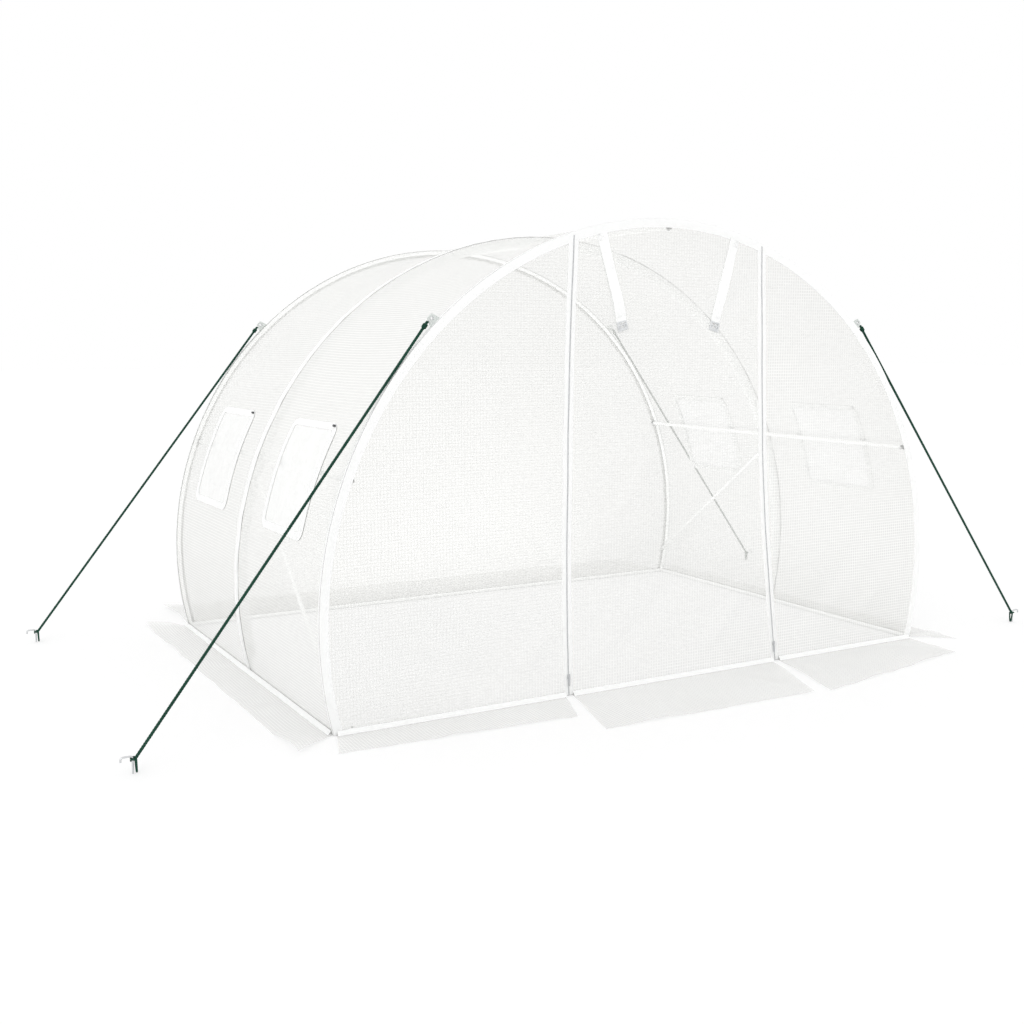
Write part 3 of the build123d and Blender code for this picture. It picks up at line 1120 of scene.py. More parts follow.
@dataclass
class FilmCover:
    """The film over the hoops, its seam band, the middle hoop's pocket and the tapes at the ends."""

    plan: TunnelPlan
    windows: Sequence[Window]
    mesh_pitch: float = 0.019
    window_margin: float = 0.022
    roof_sag: float = 0.016
    flank_ease: float = 0.45
    flank_angles: Pair = (45.0, 95.0)
    foot_ease: float = 0.12
    pucker: float = 0.0035
    pucker_reach: float = 0.1
    pucker_start: float = 0.012
    wave: float = 0.005
    tape_width: float = 0.012
    tape_thickness: float = 0.0008
    tape_lift: float = 0.0004
    band_width: float = 0.05
    band_rows: int = 6
    sleeve_depth: float = 0.046
    sleeve_width: float = 0.047
    sleeve_steps: int = 20
    sleeve_drop: float = 0.0036
    sleeve_sway: float = 0.004
    sleeve_short: float = 0.04

    PUCKERS = Ripple(11.0, 1.5, 3.1)
    WAVES = Ripple(1.9, 2.6, 7.7)
    SMALL_WAVES = Ripple(4.6, 6.1, 1.3)
    SWAY = Ripple(7.0, 0.6, 4.4)

    def relief(self, angle: float, depth: float) -> float:
        """Return how far the film stands out of its true arc.

        Args:
            angle: The angle from the top.
            depth: Y of the place.

        Returns:
            The distance outward, mostly below zero between the hoops.
        """
        half = self.plan.half_length
        share = (depth % half) / half if abs(depth) < half else 0.0
        slack = 4 * share * (1 - share)
        near = min(share, 1 - share) * half
        arc = angle * self.plan.film_radius
        fade = math.exp(-near / self.pucker_reach) * (1 - math.exp(-near / self.pucker_start))
        puckers = self.PUCKERS.at(arc, depth) * fade
        waves = self.WAVES.at(arc, depth) + 0.5 * self.SMALL_WAVES.at(arc, depth)
        flank = smooth(abs(angle), *map(math.radians, self.flank_angles))
        sag = self.roof_sag * (1 - self.flank_ease * flank)
        edge = smooth(self.plan.foot_angle - abs(angle), 0.0, self.foot_ease)
        return (-sag * slack + self.pucker * puckers + self.wave * waves * slack) * edge

    def on_film(self, angle: float, depth: float, lift: float = 0.0) -> Vector:
        """Return a point on the film's outer face, or a little out of it."""
        return self.plan.on_arc(self.plan.film_radius + lift + self.relief(angle, depth), angle, depth)

    def build(self) -> None:
        """Make both bays' film, the band over the seam and the end tapes."""
        for end in End:
            self.bay_film(end)
        self.seam_band()
        self.hoop_sleeve()
        for end in End:
            self.end_tape(end)

    def bay_film(self, end: End) -> None:
        """Make the film of one bay, from foot to foot, with its windows cut out.

        Args:
            end: The bay's end.
        """
        plan = self.plan
        radius, reach = plan.film_radius - FILM_INSET, plan.foot_angle
        margin = self.window_margin / radius
        window = next(window for window in self.windows if window.end is end)
        head, sill = window.head + margin, window.sill - margin
        front, back = window.front + self.window_margin, window.back - self.window_margin
        limit = plan.half_length + plan.tube_radius
        depths = sorted((0.0, end.value * limit, front, back, end.value * plan.half_length))
        film = film_sheet(
            f"{end.word}_bay_film",
            stops((-reach, -sill, -head, head, sill, reach), self.mesh_pitch / radius),
            stops(depths, self.mesh_pitch),
            lambda angle, depth: self.on_film(angle, depth, -FILM_INSET),
            lambda angle, depth: (angle * radius, depth),
            SCRIM,
            plan.inside,
            lambda angle, depth: head < abs(angle) < sill and front < depth < back,
        )
        settle(film, "film", f"{end.word}_roof_cover", *(f"{side.word}_{end.word}_cover" for side in Side))
        hoops = [f"{end.word}_hoop", "middle_hoop"]

    def seam_band(self) -> None:
        """Make the white band over the middle hoop."""
        radius, reach, half = self.plan.film_radius, self.plan.foot_angle, self.band_width / 2
        band = film_sheet(
            "seam_band",
            steps(-reach, reach, self.mesh_pitch / radius),
            steps(-half, half, self.band_width / self.band_rows),
            self.on_film,
            lambda angle, depth: (angle * radius, depth),
            TAPE,
            self.plan.inside,
        )
        settle(band, "seam_band", "middle_seam_band")

    def hoop_sleeve(self) -> None:
        """Make the white pocket under the seam that holds the middle hoop."""
        plan = self.plan
        top = plan.film_radius - self.sleeve_drop
        reach = plan.foot_angle - self.sleeve_short

        def section(turn: float) -> Pair:
            """Return the radius and Y of the pocket's section, a loop that is open at the film."""
            return top - self.sleeve_depth * math.sin(turn), -self.sleeve_width / 2 * math.cos(turn)

        def place(turn: float, angle: float) -> Vector:
            """Return a point of the pocket, which hangs a little unevenly."""
            radius, depth = section(turn)
            sway = self.sleeve_sway * self.SWAY.at(angle, turn) * (top - radius) / self.sleeve_depth
            return plan.on_arc(radius + sway, angle, depth + sway)

        turns = steps(0.0, math.pi, math.pi / self.sleeve_steps)
        girth = length_of([Vector(section(turn)) for turn in turns])
        sleeve = film_sheet(
            "hoop_sleeve",
            turns,
            steps(-reach, reach, self.mesh_pitch / top),
            place,
            lambda turn, angle: (angle * top, turn / math.pi * girth),
            LINING,
            plan.inside,
        )
        settle(sleeve, "seam_band")

    def end_tape(self, end: End) -> None:
        """Make the welded tape round the edge where the cover meets an end wall.

        Args:
            end: The wall's end.
        """
        plan = self.plan
        edge = plan.half_length + plan.tube_radius - self.tape_width / 2
        radius = plan.film_radius + self.tape_lift
        path = plan.arc_path(radius, end.value * edge, self.mesh_pitch, plan.film_foot)
        across = [Y_AXIS] * len(path)
        tape = ribbon(f"{end.word}_edge_tape", path, across, self.tape_width, self.tape_thickness, TAPE)
        settle(tape, "seam_band")


@dataclass
class WindowSet:
    """The flaps, borders, linings, screens and toggles of the side windows."""

    plan: TunnelPlan
    cover: FilmCover
    fittings: FittingRig
    corner: float = 0.05
    corner_steps: int = 6
    border: float = 0.03
    border_thickness: float = 0.0012
    border_pitch: float = 0.03
    border_step: float = 0.001
    border_lift: float = 0.0016
    lining_lift: float = -0.0022
    flap_lift: float = 0.001
    flap_step: float = 0.05
    flap_pitch: float = 0.012
    bulge: float = 0.004
    bulge_drift: float = 0.9
    screen_lift: float = -0.004
    screen_slack: float = 0.001
    screen_lap: float = 0.012
    screen_pitch: float = 0.03
    toggle_half: Profile = ((0.0085, 0.00273), (0.0068, 0.0052), (0.002125, 0.0039))
    toggle_sides: int = 12
    toggle_lift: float = 0.0062
    toggle_drop: float = 0.012
    toggle_inset: float = 0.03

    FLAP_WAVES = Ripple(2.1, 5.5, 11.0)
    SCREEN_WAVES = Ripple(6.0, 6.0, 5.0)

    def on_wall(self, window: Window, up: float, depth: float, lift: float) -> Vector:
        """Return a point on a window, by its way up and along the wall from the middle, and out."""
        angle, middle = window.middle
        turn = window.side.value * (angle - up / self.plan.film_radius)
        return self.cover.on_film(turn, middle + depth, lift)

    def half_size(self, window: Window) -> Pair:
        """Return half the flap's height along the wall and half its width."""
        return (window.sill - window.head) * self.plan.film_radius / 2, (window.back - window.front) / 2

    def build(self) -> None:
        """Make the pieces of every window."""
        for window in self.cover.windows:
            self.flap(window)
            self.border_ring(window, "border", self.border_lift, TAPE)
            self.border_ring(window, "lining", self.lining_lift, LINING)
            self.screen(window)
        self.toggles()

    def flap(self, window: Window) -> None:
        """Make one flap with rounded corners that swells a little.

        Args:
            window: The window.
        """
        height, width = self.half_size(window)

        def place(share: float, up: float) -> Vector:
            """Return a point of the flap, by a share of half the width and a way up."""
            past = max(abs(up) - (height - self.corner), 0.0)
            reach = width - self.corner + math.sqrt(max(self.corner**2 - past**2, 0.0))
            crown = (1 - share**2) * (1 - (up / height) ** 2)
            swell = self.bulge * crown * (1 + self.bulge_drift * self.FLAP_WAVES.at(share, up, window.seed))
            return self.on_wall(window, up, share * reach, self.flap_lift + swell)

        flap = film_sheet(
            f"{window.word}_film",
            steps(-1.0, 1.0, self.flap_step),
            steps(-height, height, self.flap_pitch),
            place,
            lambda share, up: (share * width, up),
            WINDOW_FILM,
            self.plan.inside,
        )
        settle(flap, "window_film", f"{window.word}_flap")
        f"{window.word}_border"

    def ring_spots(self, window: Window) -> list[tuple[Vector, Vector]]:
        """Return places round the middle line of a window's border.

        Args:
            window: The window.

        Returns:
            Pairs of a place and the direction outward there, along the wall and up it.
        """
        bend = self.corner - self.border / 2
        height, width = (half - self.border / 2 - bend for half in self.half_size(window))
        spots = []
        for quarter, (across, upward) in enumerate(((1, 1), (-1, 1), (-1, -1), (1, -1))):
            hub = Vector((across * width, upward * height))
            for turn in steps(90 * quarter, 90 * (quarter + 1), 90 / self.corner_steps):
                out = Vector((math.cos(math.radians(turn)), math.sin(math.radians(turn))))
                spots.append((hub + bend * out, out))
            run = Vector((-out.y, out.x)) * (2 * height if quarter % 2 else 2 * width)
            count = math.ceil(run.length / self.border_pitch)
            spots += [(hub + bend * out + run * (index / count), out) for index in range(1, count)]
        return spots

    def border_ring(self, window: Window, word: str, lift: float, finish: Finish) -> None:
        """Make a welded border round one window, as a closed ring.

        Args:
            window: The window.
            word: The border's own word in its name.
            lift: How far the border lies out of the cover.
            finish: The border's finish.
        """
        path, sideways = [], []
        for place, out in self.ring_spots(window):
            point = self.on_wall(window, place.y, place.x, lift)
            beside = place + self.border_step * out
            path.append(point)
            sideways.append((self.on_wall(window, beside.y, beside.x, lift) - point).normalized())
        name = f"{window.word}_{word}"
        ring = ribbon(name, path, sideways, self.border, self.border_thickness, finish, closed=True)
        settle(ring, "seam_band")

    def screen(self, window: Window) -> None:
        """Make the insect screen behind one flap.

        Args:
            window: The window.
        """
        height, width = (half - self.cover.window_margin + self.screen_lap for half in self.half_size(window))

        def place(depth: float, up: float) -> Vector:
            """Return a point of the screen."""
            lift = self.screen_lift - self.screen_slack * self.SCREEN_WAVES.at(depth, up)
            return self.on_wall(window, up, depth, lift)

        screen = film_sheet(
            f"{window.word}_screen",
            steps(-width, width, self.screen_pitch),
            steps(-height, height, self.screen_pitch),
            place,
            lambda depth, up: (depth, up),
            SCREEN,
            self.plan.inside,
        )
        settle(screen, "window_film")
        f"{window.end.word}_bay_film"

    def toggles(self) -> None:
        """Make the dark toggle at the upper front corner of every flap."""
        profile = (*((-along, radius) for along, radius in self.toggle_half), *self.toggle_half[::-1])
        pattern = turned("toggle_pattern", profile, self.toggle_sides, DARK_PLASTIC)
        spots = []
        for window in self.cover.windows:
            height, width = self.half_size(window)
            up, along = height - self.toggle_drop, self.toggle_inset - width
            spots.append(Spot(self.on_wall(window, up, along, self.toggle_lift), Y_AXIS, Z_AXIS))
        settle(self.fittings.lay("window_toggles", spots, pattern, DARK_PLASTIC), "buckle")


# End walls and door


@dataclass(frozen=True)
class Fold:
    """A soft fold in a wall's film between two places, each X and Z, with half its width and its depth."""

    start: Pair
    end: Pair
    width: float
    depth: float

    def lift(self, x: float, height: float) -> float:
        """Return the fold's lift at a place on the wall.

        Args:
            x: The place across the tunnel.
            height: The height over the ground.

        Returns:
            The distance outward.
        """
        run = Vector(self.end) - Vector(self.start)
        place = Vector((x, height)) - Vector(self.start)
        share = min(max(place.dot(run) / run.length_squared, 0.0), 1.0)
        away = (place - run * share).length
        return self.depth * math.exp(-((away / self.width) ** 2)) * (0.3 + 0.7 * math.sin(math.pi * share))


@dataclass(frozen=True)
class ZipLine:
    """The line of one door zip: X of its two ends, its upper end's height and its bow to the side."""

    word: str
    foot: float
    top: float
    head: float
    bow: float

    @classmethod
    def from_frame(cls, side: Side, tape_width: float, bow: float) -> "ZipLine":
        """Read a zip's ends, for the width of its tape and its bow to the side."""
        low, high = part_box(f"{side.word}_door_zip")
        ends = sorted((low.x + tape_width / 2, high.x - tape_width / 2), key=abs)
        return cls(side.word, ends[1], ends[0], high.z, bow)

    def x_at(self, height: float) -> float:
        """Return X of the line at a height."""
        share = min(max(height / self.head, 0.0), 1.2)
        bow = self.bow * math.sin(math.pi * min(share, 1.0) ** 0.85)
        return self.foot + (self.top - self.foot) * share + bow


@dataclass
class EndWalls:
    """The film of both ends, the zips and the door's straps."""

    plan: TunnelPlan
    fittings: FittingRig
    mesh_pitch: float = 0.019
    edge_pitch: float = 0.1
    edge_rounds: int = 12
    front_seed: float = 2.0
    back_seed: float = 6.0
    wave: float = 0.006
    arc_hold: Pair = (0.03, 0.22)
    foot_hold: Pair = (0.03, 0.2)
    pucker: float = 0.0022
    pucker_reach: float = 0.12
    pucker_hold: Pair = (0.015, 0.05)
    tape_width: float = 0.036
    tape_thickness: float = 0.0008
    foot_gap: float = 0.004
    zip_width: float = 0.043
    zip_thickness: float = 0.0012
    zip_lift: float = 0.0013
    zip_pitch: float = 0.015
    zip_bows: Pair = (-0.02, -0.034)
    zip_top_gap: float = 0.012
    tooth: Vector = Vector((0.0026, 0.0036, 0.0018))
    tooth_edge: float = 0.0004
    tooth_lift: float = 0.0024
    tooth_offset: float = 0.0011
    teeth_pitch: float = 0.0042
    slider_height: float = 0.085
    slider_lift: float = 0.0045
    strap_length: float = 0.37
    strap_width: float = 0.047
    strap_thickness: float = 0.0018
    strap_lean: float = 15.5
    strap_pitch: float = 0.012
    strap_lift: float = 0.0022
    strap_hang: float = 0.006
    strap_hold: float = 0.02
    strap_sway: float = 0.002
    strap_waves: float = 13.0
    strap_twist: float = 5.0
    twist_step: float = 0.21
    stitch: Vector = Vector((0.0052, 0.0011, 0.0008))
    stitch_edge: float = 0.0003
    stitch_pitch: float = 0.0068
    stitch_lift: float = 0.0002
    stitch_margin: float = 0.005
    stitch_box: Pair = (0.006, 0.032)
    stitch_bars: Pair = (0.03, 0.026)
    buckle_lift: float = 0.0068
    buckle_past_end: float = 0.012

    WAVES = Ripple(2.2, 1.7)
    SMALL_WAVES = Ripple(5.3, 4.1, 4.0)
    PUCKERS = Ripple(26.0, 3.0, 9.0)
    FOLDS = (
        Fold((-1.43, 0.72), (-0.84, 0.09), 0.055, -0.014),
        Fold((-1.37, 0.82), (-0.95, 0.22), 0.05, 0.009),
        Fold((-1.38, 0.95), (-1.27, 0.78), 0.016, 0.006),
        Fold((-1.3, 0.3), (-0.72, 0.06), 0.045, -0.01),
        Fold((-0.78, 0.07), (-0.52, 0.34), 0.04, 0.007),
        Fold((-0.3, 0.08), (0.12, 0.5), 0.05, -0.008),
        Fold((0.2, 0.06), (0.5, 0.42), 0.04, 0.006),
        Fold((0.72, 0.1), (1.2, 0.55), 0.05, -0.008),
        Fold((1.02, 0.07), (1.4, 0.36), 0.045, 0.007),
        Fold((-0.44, 1.72), (-0.1, 1.5), 0.05, 0.006),
        Fold((0.46, 1.7), (0.12, 1.46), 0.05, -0.006),
        Fold((-0.95, 1.42), (-0.55, 1.1), 0.06, -0.006),
        Fold((0.62, 1.5), (0.98, 1.16), 0.06, 0.006),
    )

    # Blocks of a fitting: name, size, bevel and middles
    SLIDER = (
        ("slider_pattern", (0.0135, 0.006, 0.019), 0.0022, ((0, 0, 0),)),
        ("pull_pattern", (0.0085, 0.0022, 0.036), 0.001, ((0, -0.0045, -0.022),)),
        ("bridge_pattern", (0.005, 0.004, 0.009), 0.001, ((0, -0.0042, 0),)),
    )
    BUCKLE = (
        ("buckle_pattern", (0.007, 0.0085, 0.04), 0.0022, ((-0.0205, 0, 0), (0.0205, 0, 0))),
        ("bar_pattern", (0.044, 0.00765, 0.0065), 0.002, ((0, 0, 0.0167), (0, 0, 0.004))),
        ("mouth_pattern", (0.04, 0.00816, 0.013), 0.003, ((0, 0, -0.0135),)),
        ("prong_pattern", (0.006, 0.004675, 0.018), 0.0018, ((-0.0105, 0, -0.006), (0.0105, 0, -0.006))),
    )

    def __post_init__(self) -> None:
        """Read the zips' lines from the frame."""
        self.zips = [ZipLine.from_frame(side, self.zip_width, bow) for side, bow in zip(Side, self.zip_bows)]

    def relief(self, x: float, height: float, seed: float) -> float:
        """Return how far a wall's film stands out of its plane.

        Args:
            x: The place across the tunnel.
            height: The height over the ground.
            seed: A number that sets this wall's own waves.

        Returns:
            The distance outward.
        """
        from_arc = self.plan.film_radius - math.hypot(x, height - self.plan.hoop_centre)
        held = smooth(from_arc, *self.arc_hold) * smooth(height, *self.foot_hold)
        waves = self.WAVES.at(x, height, seed) + 0.45 * self.SMALL_WAVES.at(x, height, seed)
        folds = sum(fold.lift(x, height) for fold in self.FOLDS)
        puckers = self.pucker * self.PUCKERS.at(math.atan2(x, height), from_arc, seed)
        fade = math.exp(-from_arc / self.pucker_reach) * smooth(from_arc, *self.pucker_hold)
        return held * (self.wave * waves + folds) + puckers * fade

    def on_front(self, x: float, height: float, lift: float = 0.0) -> Vector:
        """Return a point on the front film, or a little before it."""
        relief = self.relief(x, height, self.front_seed)
        return Vector((x, self.plan.front_wall + FILM_INSET - relief - lift, height))

    def on_back(self, x: float, height: float, lift: float = 0.0) -> Vector:
        """Return a point on the back film, or a little behind it."""
        relief = self.relief(-x, height, self.back_seed)
        return Vector((x, self.plan.back_wall - FILM_INSET + relief + lift, height))

    def build(self) -> None:
        """Make the film, the tapes, the zips and the straps."""
        self.front_sides()
        self.door()
        self.back()
        for end in End:
            self.edge_tape(end)
        for line in self.zips:
            self.zip_tape(line)
        self.zip_teeth()
        self.zip_sliders()
        for side in Side:
            self.strap(side)
        self.buckles()
        self.strap_stitches()

    def hang_film(self, film: Piece, node: str, *rests_on: str) -> None:
        """Put a wall's sheet on the part in place of the solid that it stands for."""
        settle(film, "film", node)

    def wall_film(
        self,
        name: str,
        left: Callable[[float], float],
        right: Callable[[float], float],
        top: float,
        place: Callable[[float, float], Vector],
    ) -> Piece:
        """Make a wall's sheet between two edges that are given by height.

        Args:
            name: The piece's name.
            left: X of the left edge at a height.
            right: X of the right edge at a height.
            top: The height at which the edges meet.
            place: Gives a point for X and a height.

        Returns:
            The new sheet.
        """
        foot = self.plan.film_foot
        widest = max(right(height) - left(height) for height in steps(foot, top, self.edge_pitch))

        def spot(share: float, height: float) -> Pair:
            """Return X at a share of the width, and the height."""
            return left(height) + (right(height) - left(height)) * share, height

        return film_sheet(
            name,
            steps(0.0, 1.0, self.mesh_pitch / widest),
            steps(foot, top, self.mesh_pitch),
            lambda share, height: place(*spot(share, height)),
            spot,
            SCRIM,
            self.plan.inside,
        )

    def left_edge(self, height: float) -> float:
        """Return X of the cover's left edge at a height."""
        return -self.plan.half_width(height)

    def meeting(self, x_at: Callable[[float], float]) -> float:
        """Return the height at which a line, given as X at a height, meets the cover's outline."""
        height = self.plan.outline(0)
        for _ in range(self.edge_rounds):
            height = self.plan.outline(x_at(height))
        return height

    def front_sides(self) -> None:
        """Make the front film left and right of the door."""
        left_zip, right_zip = self.zips
        edges = (self.left_edge, left_zip.x_at), (right_zip.x_at, self.plan.half_width)
        for line, (left, right) in zip(self.zips, edges):
            top = self.meeting(line.x_at)
            film = self.wall_film(f"front_{line.word}_film", left, right, top, self.on_front)
            self.hang_film(film, f"front_wall_{line.word}", "front_hoop")

    def door_x(self, share: float, height: float) -> float:
        """Return X at a share of the door's width at a height."""
        left, right = (line.x_at(height) for line in self.zips)
        return left + (right - left) * share

    def door(self) -> None:
        """Make the door's film between the zips, up to the roof's outline."""
        foot = self.plan.film_foot
        rows = math.ceil((self.plan.outline(0) - foot) / self.mesh_pitch)

        def spot(share: float, rise: float) -> Pair:
            """Return X and the height at a share of the width and of the height there."""
            height = foot + (self.meeting(lambda at: self.door_x(share, at)) - foot) * rise
            return self.door_x(share, height), height

        film = film_sheet(
            "door_film",
            steps(0.0, 1.0, self.mesh_pitch),
            steps(0.0, 1.0, 1 / rows),
            lambda share, rise: self.on_front(*spot(share, rise)),
            spot,
            SCRIM,
            self.plan.inside,
        )
        self.hang_film(film, "door_panel", "left_zip_tape", "right_zip_tape", "front_hoop")

    def back(self) -> None:
        """Make the back wall's film in one sheet."""
        plan = self.plan
        film = self.wall_film("back_film", self.left_edge, plan.half_width, plan.outline(0), self.on_back)
        self.hang_film(film, "back_wall", "back_hoop")

    def edge_tape(self, end: End) -> None:
        """Make the welded tape along the curved edge of an end wall.

        Args:
            end: The wall's end.
        """
        plan = self.plan
        place = self.on_front if end is End.FRONT else self.on_back
        arc = plan.arc_path(
            plan.film_radius - self.tape_width / 2, 0.0, self.mesh_pitch, plan.film_foot + self.foot_gap
        )
        across = [(point - plan.inside).normalized() for point in arc]
        path = [place(point.x, point.z, self.tape_thickness) for point in arc]
        tape = ribbon(f"{end.word}_wall_tape", path, across, self.tape_width, self.tape_thickness, TAPE)
        settle(tape, "seam_band")

    def zip_path(self, line: ZipLine, lift: float, pitch: float) -> list[Vector]:
        """Return points up a zip, at a distance before the film and a pitch apart."""
        top = self.meeting(line.x_at) - self.zip_top_gap
        heights = steps(self.plan.film_foot + self.foot_gap, top, pitch)
        return [self.on_front(line.x_at(height), height, lift) for height in heights]

    def zip_tape(self, line: ZipLine) -> None:
        """Make the woven tape of one zip.

        Args:
            line: The zip's line.
        """
        path = self.zip_path(line, self.zip_lift, self.zip_pitch)
        across = [X_AXIS] * len(path)
        tape = ribbon(f"{line.word}_zip_tape", path, across, self.zip_width, self.zip_thickness, TAPE)
        settle(tape, "zip", f"{line.word}_door_zip")

    def zip_teeth(self) -> None:
        """Make the two rows of teeth of both zips."""
        tooth = block("tooth_pattern", self.tooth, self.tooth_edge, GREY_PLASTIC, rounds=1)
        spots = []
        for line in self.zips:
            path = self.zip_path(line, self.tooth_lift, self.teeth_pitch / 2)
            for index, (point, after) in enumerate(pairwise(path)):
                sideways = X_AXIS * (self.tooth_offset if index % 2 else -self.tooth_offset)
                spots.append(Spot(point + sideways, (after - point).normalized(), -Y_AXIS))
        settle(self.fittings.lay("zip_teeth", spots, tooth, GREY_PLASTIC), "zip")

    def moulded(self, blocks: Sequence[tuple], finish: Finish) -> Piece:
        """Make a fitting from blocks that are given by name, size, bevel and middles."""
        made = (block(name, Vector(size), edge, finish, map(Vector, at)) for name, size, edge, at in blocks)
        return join(*made)

    def zip_sliders(self) -> None:
        """Make a slider with its pull near the foot of each zip."""
        height = self.slider_height
        places = [self.on_front(line.x_at(height), height, self.slider_lift) for line in self.zips]
        spots = [Spot(place, X_AXIS, Z_AXIS) for place in places]
        pattern = self.moulded(self.SLIDER, GREY_PLASTIC)
        settle(self.fittings.lay("zip_sliders", spots, pattern, GREY_PLASTIC), "buckle")

    def strap_ways(self, side: Side) -> tuple[Vector, Vector, Vector]:
        """Return how a strap lies in the wall's plane.

        Args:
            side: The strap's side.

        Returns:
            The strap's top, its direction down and its direction across.
        """
        low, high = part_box(f"{side.word}_door_strap")
        lean = math.radians(self.strap_lean)
        down = Vector((-side.value * math.sin(lean), 0, -math.cos(lean)))
        return (low + high) / 2 - down * (self.strap_length / 2), down, Vector((-down.z, 0, down.x))

    def strap_point(self, side: Side, run: float) -> Vector:
        """Return a point of a strap, which hangs a little off the film.

        Args:
            side: The strap's side.
            run: The distance from the strap's top.

        Returns:
            The point on the strap's middle line.
        """
        top, down, _ = self.strap_ways(side)
        place = top + down * run
        hang = self.strap_hang * smooth(run, self.strap_hold, self.strap_length)
        sway = self.strap_sway * math.sin(run * self.strap_waves + side.value)
        return self.on_front(place.x, place.z, self.strap_lift + hang + sway)

    def strap(self, side: Side) -> None:
        """Make one webbing strap.

        Args:
            side: The strap's side.
        """
        flat = self.strap_ways(side)[2]
        path = [self.strap_point(side, run) for run in steps(0.0, self.strap_length, self.strap_pitch)]
        across = []
        for index in range(len(path)):
            twist = math.radians(self.strap_twist) * math.sin(index * self.twist_step + side.value)
            across.append((flat * math.cos(twist) + Y_AXIS * math.sin(twist)).normalized())
        web = ribbon(f"{side.word}_strap", path, across, self.strap_width, self.strap_thickness, STRAP_WEB)
        settle(web, "strap", f"{side.word}_door_strap")

    def strap_stitches(self) -> None:
        """Make the sewn box with a cross at the top of each strap and the bars at its loop."""
        pattern = block("stitch_pattern", self.stitch, self.stitch_edge, THREAD, rounds=1)
        half, (near, far) = self.strap_width / 2 - self.stitch_margin, self.stitch_box
        corners = [(-half, near), (half, near), (half, far), (-half, far), (-half, near), (half, far)]
        bars = [self.strap_length - inset for inset in self.stitch_bars]
        lines = [*pairwise(corners), ((half, near), (-half, far))]
        lines += [((-half, run), (half, run)) for run in bars]
        spots = []
        for side, ends in product(Side, lines):
            _, down, flat = self.strap_ways(side)
            start, stop = map(Vector, ends)
            along = (flat * (stop - start).x + down * (stop - start).y).normalized()
            count = max(2, round((stop - start).length / self.stitch_pitch))
            for index in range(count):
                across, run = start.lerp(stop, (index + 0.5) / count)
                place = self.strap_point(side, run) + flat * across
                place.y -= self.strap_thickness / 2 + self.stitch_lift
                spots.append(Spot(place, along, -Y_AXIS))
        settle(self.fittings.lay("strap_stitches", spots, pattern, THREAD), "strap")

    def buckles(self) -> None:
        """Make the side-release buckles at the straps' ends."""
        spots = []
        for side in Side:
            top, down, flat = self.strap_ways(side)
            place = top + down * (self.strap_length + self.buckle_past_end)
            spots.append(Spot(self.on_front(place.x, place.z, self.buckle_lift), flat, -down))
        pattern = self.moulded(self.BUCKLE, PALE_PLASTIC)
        settle(self.fittings.lay("buckles", spots, pattern, PALE_PLASTIC), "buckle", "strap_buckles")


# Skirts


@dataclass(frozen=True)
class Skirt:
    """One flap on the ground: its solid, its way outward, the rail it hangs from and its waves' seed."""

    node: str
    outward: Vector
    rail: str
    seed: float


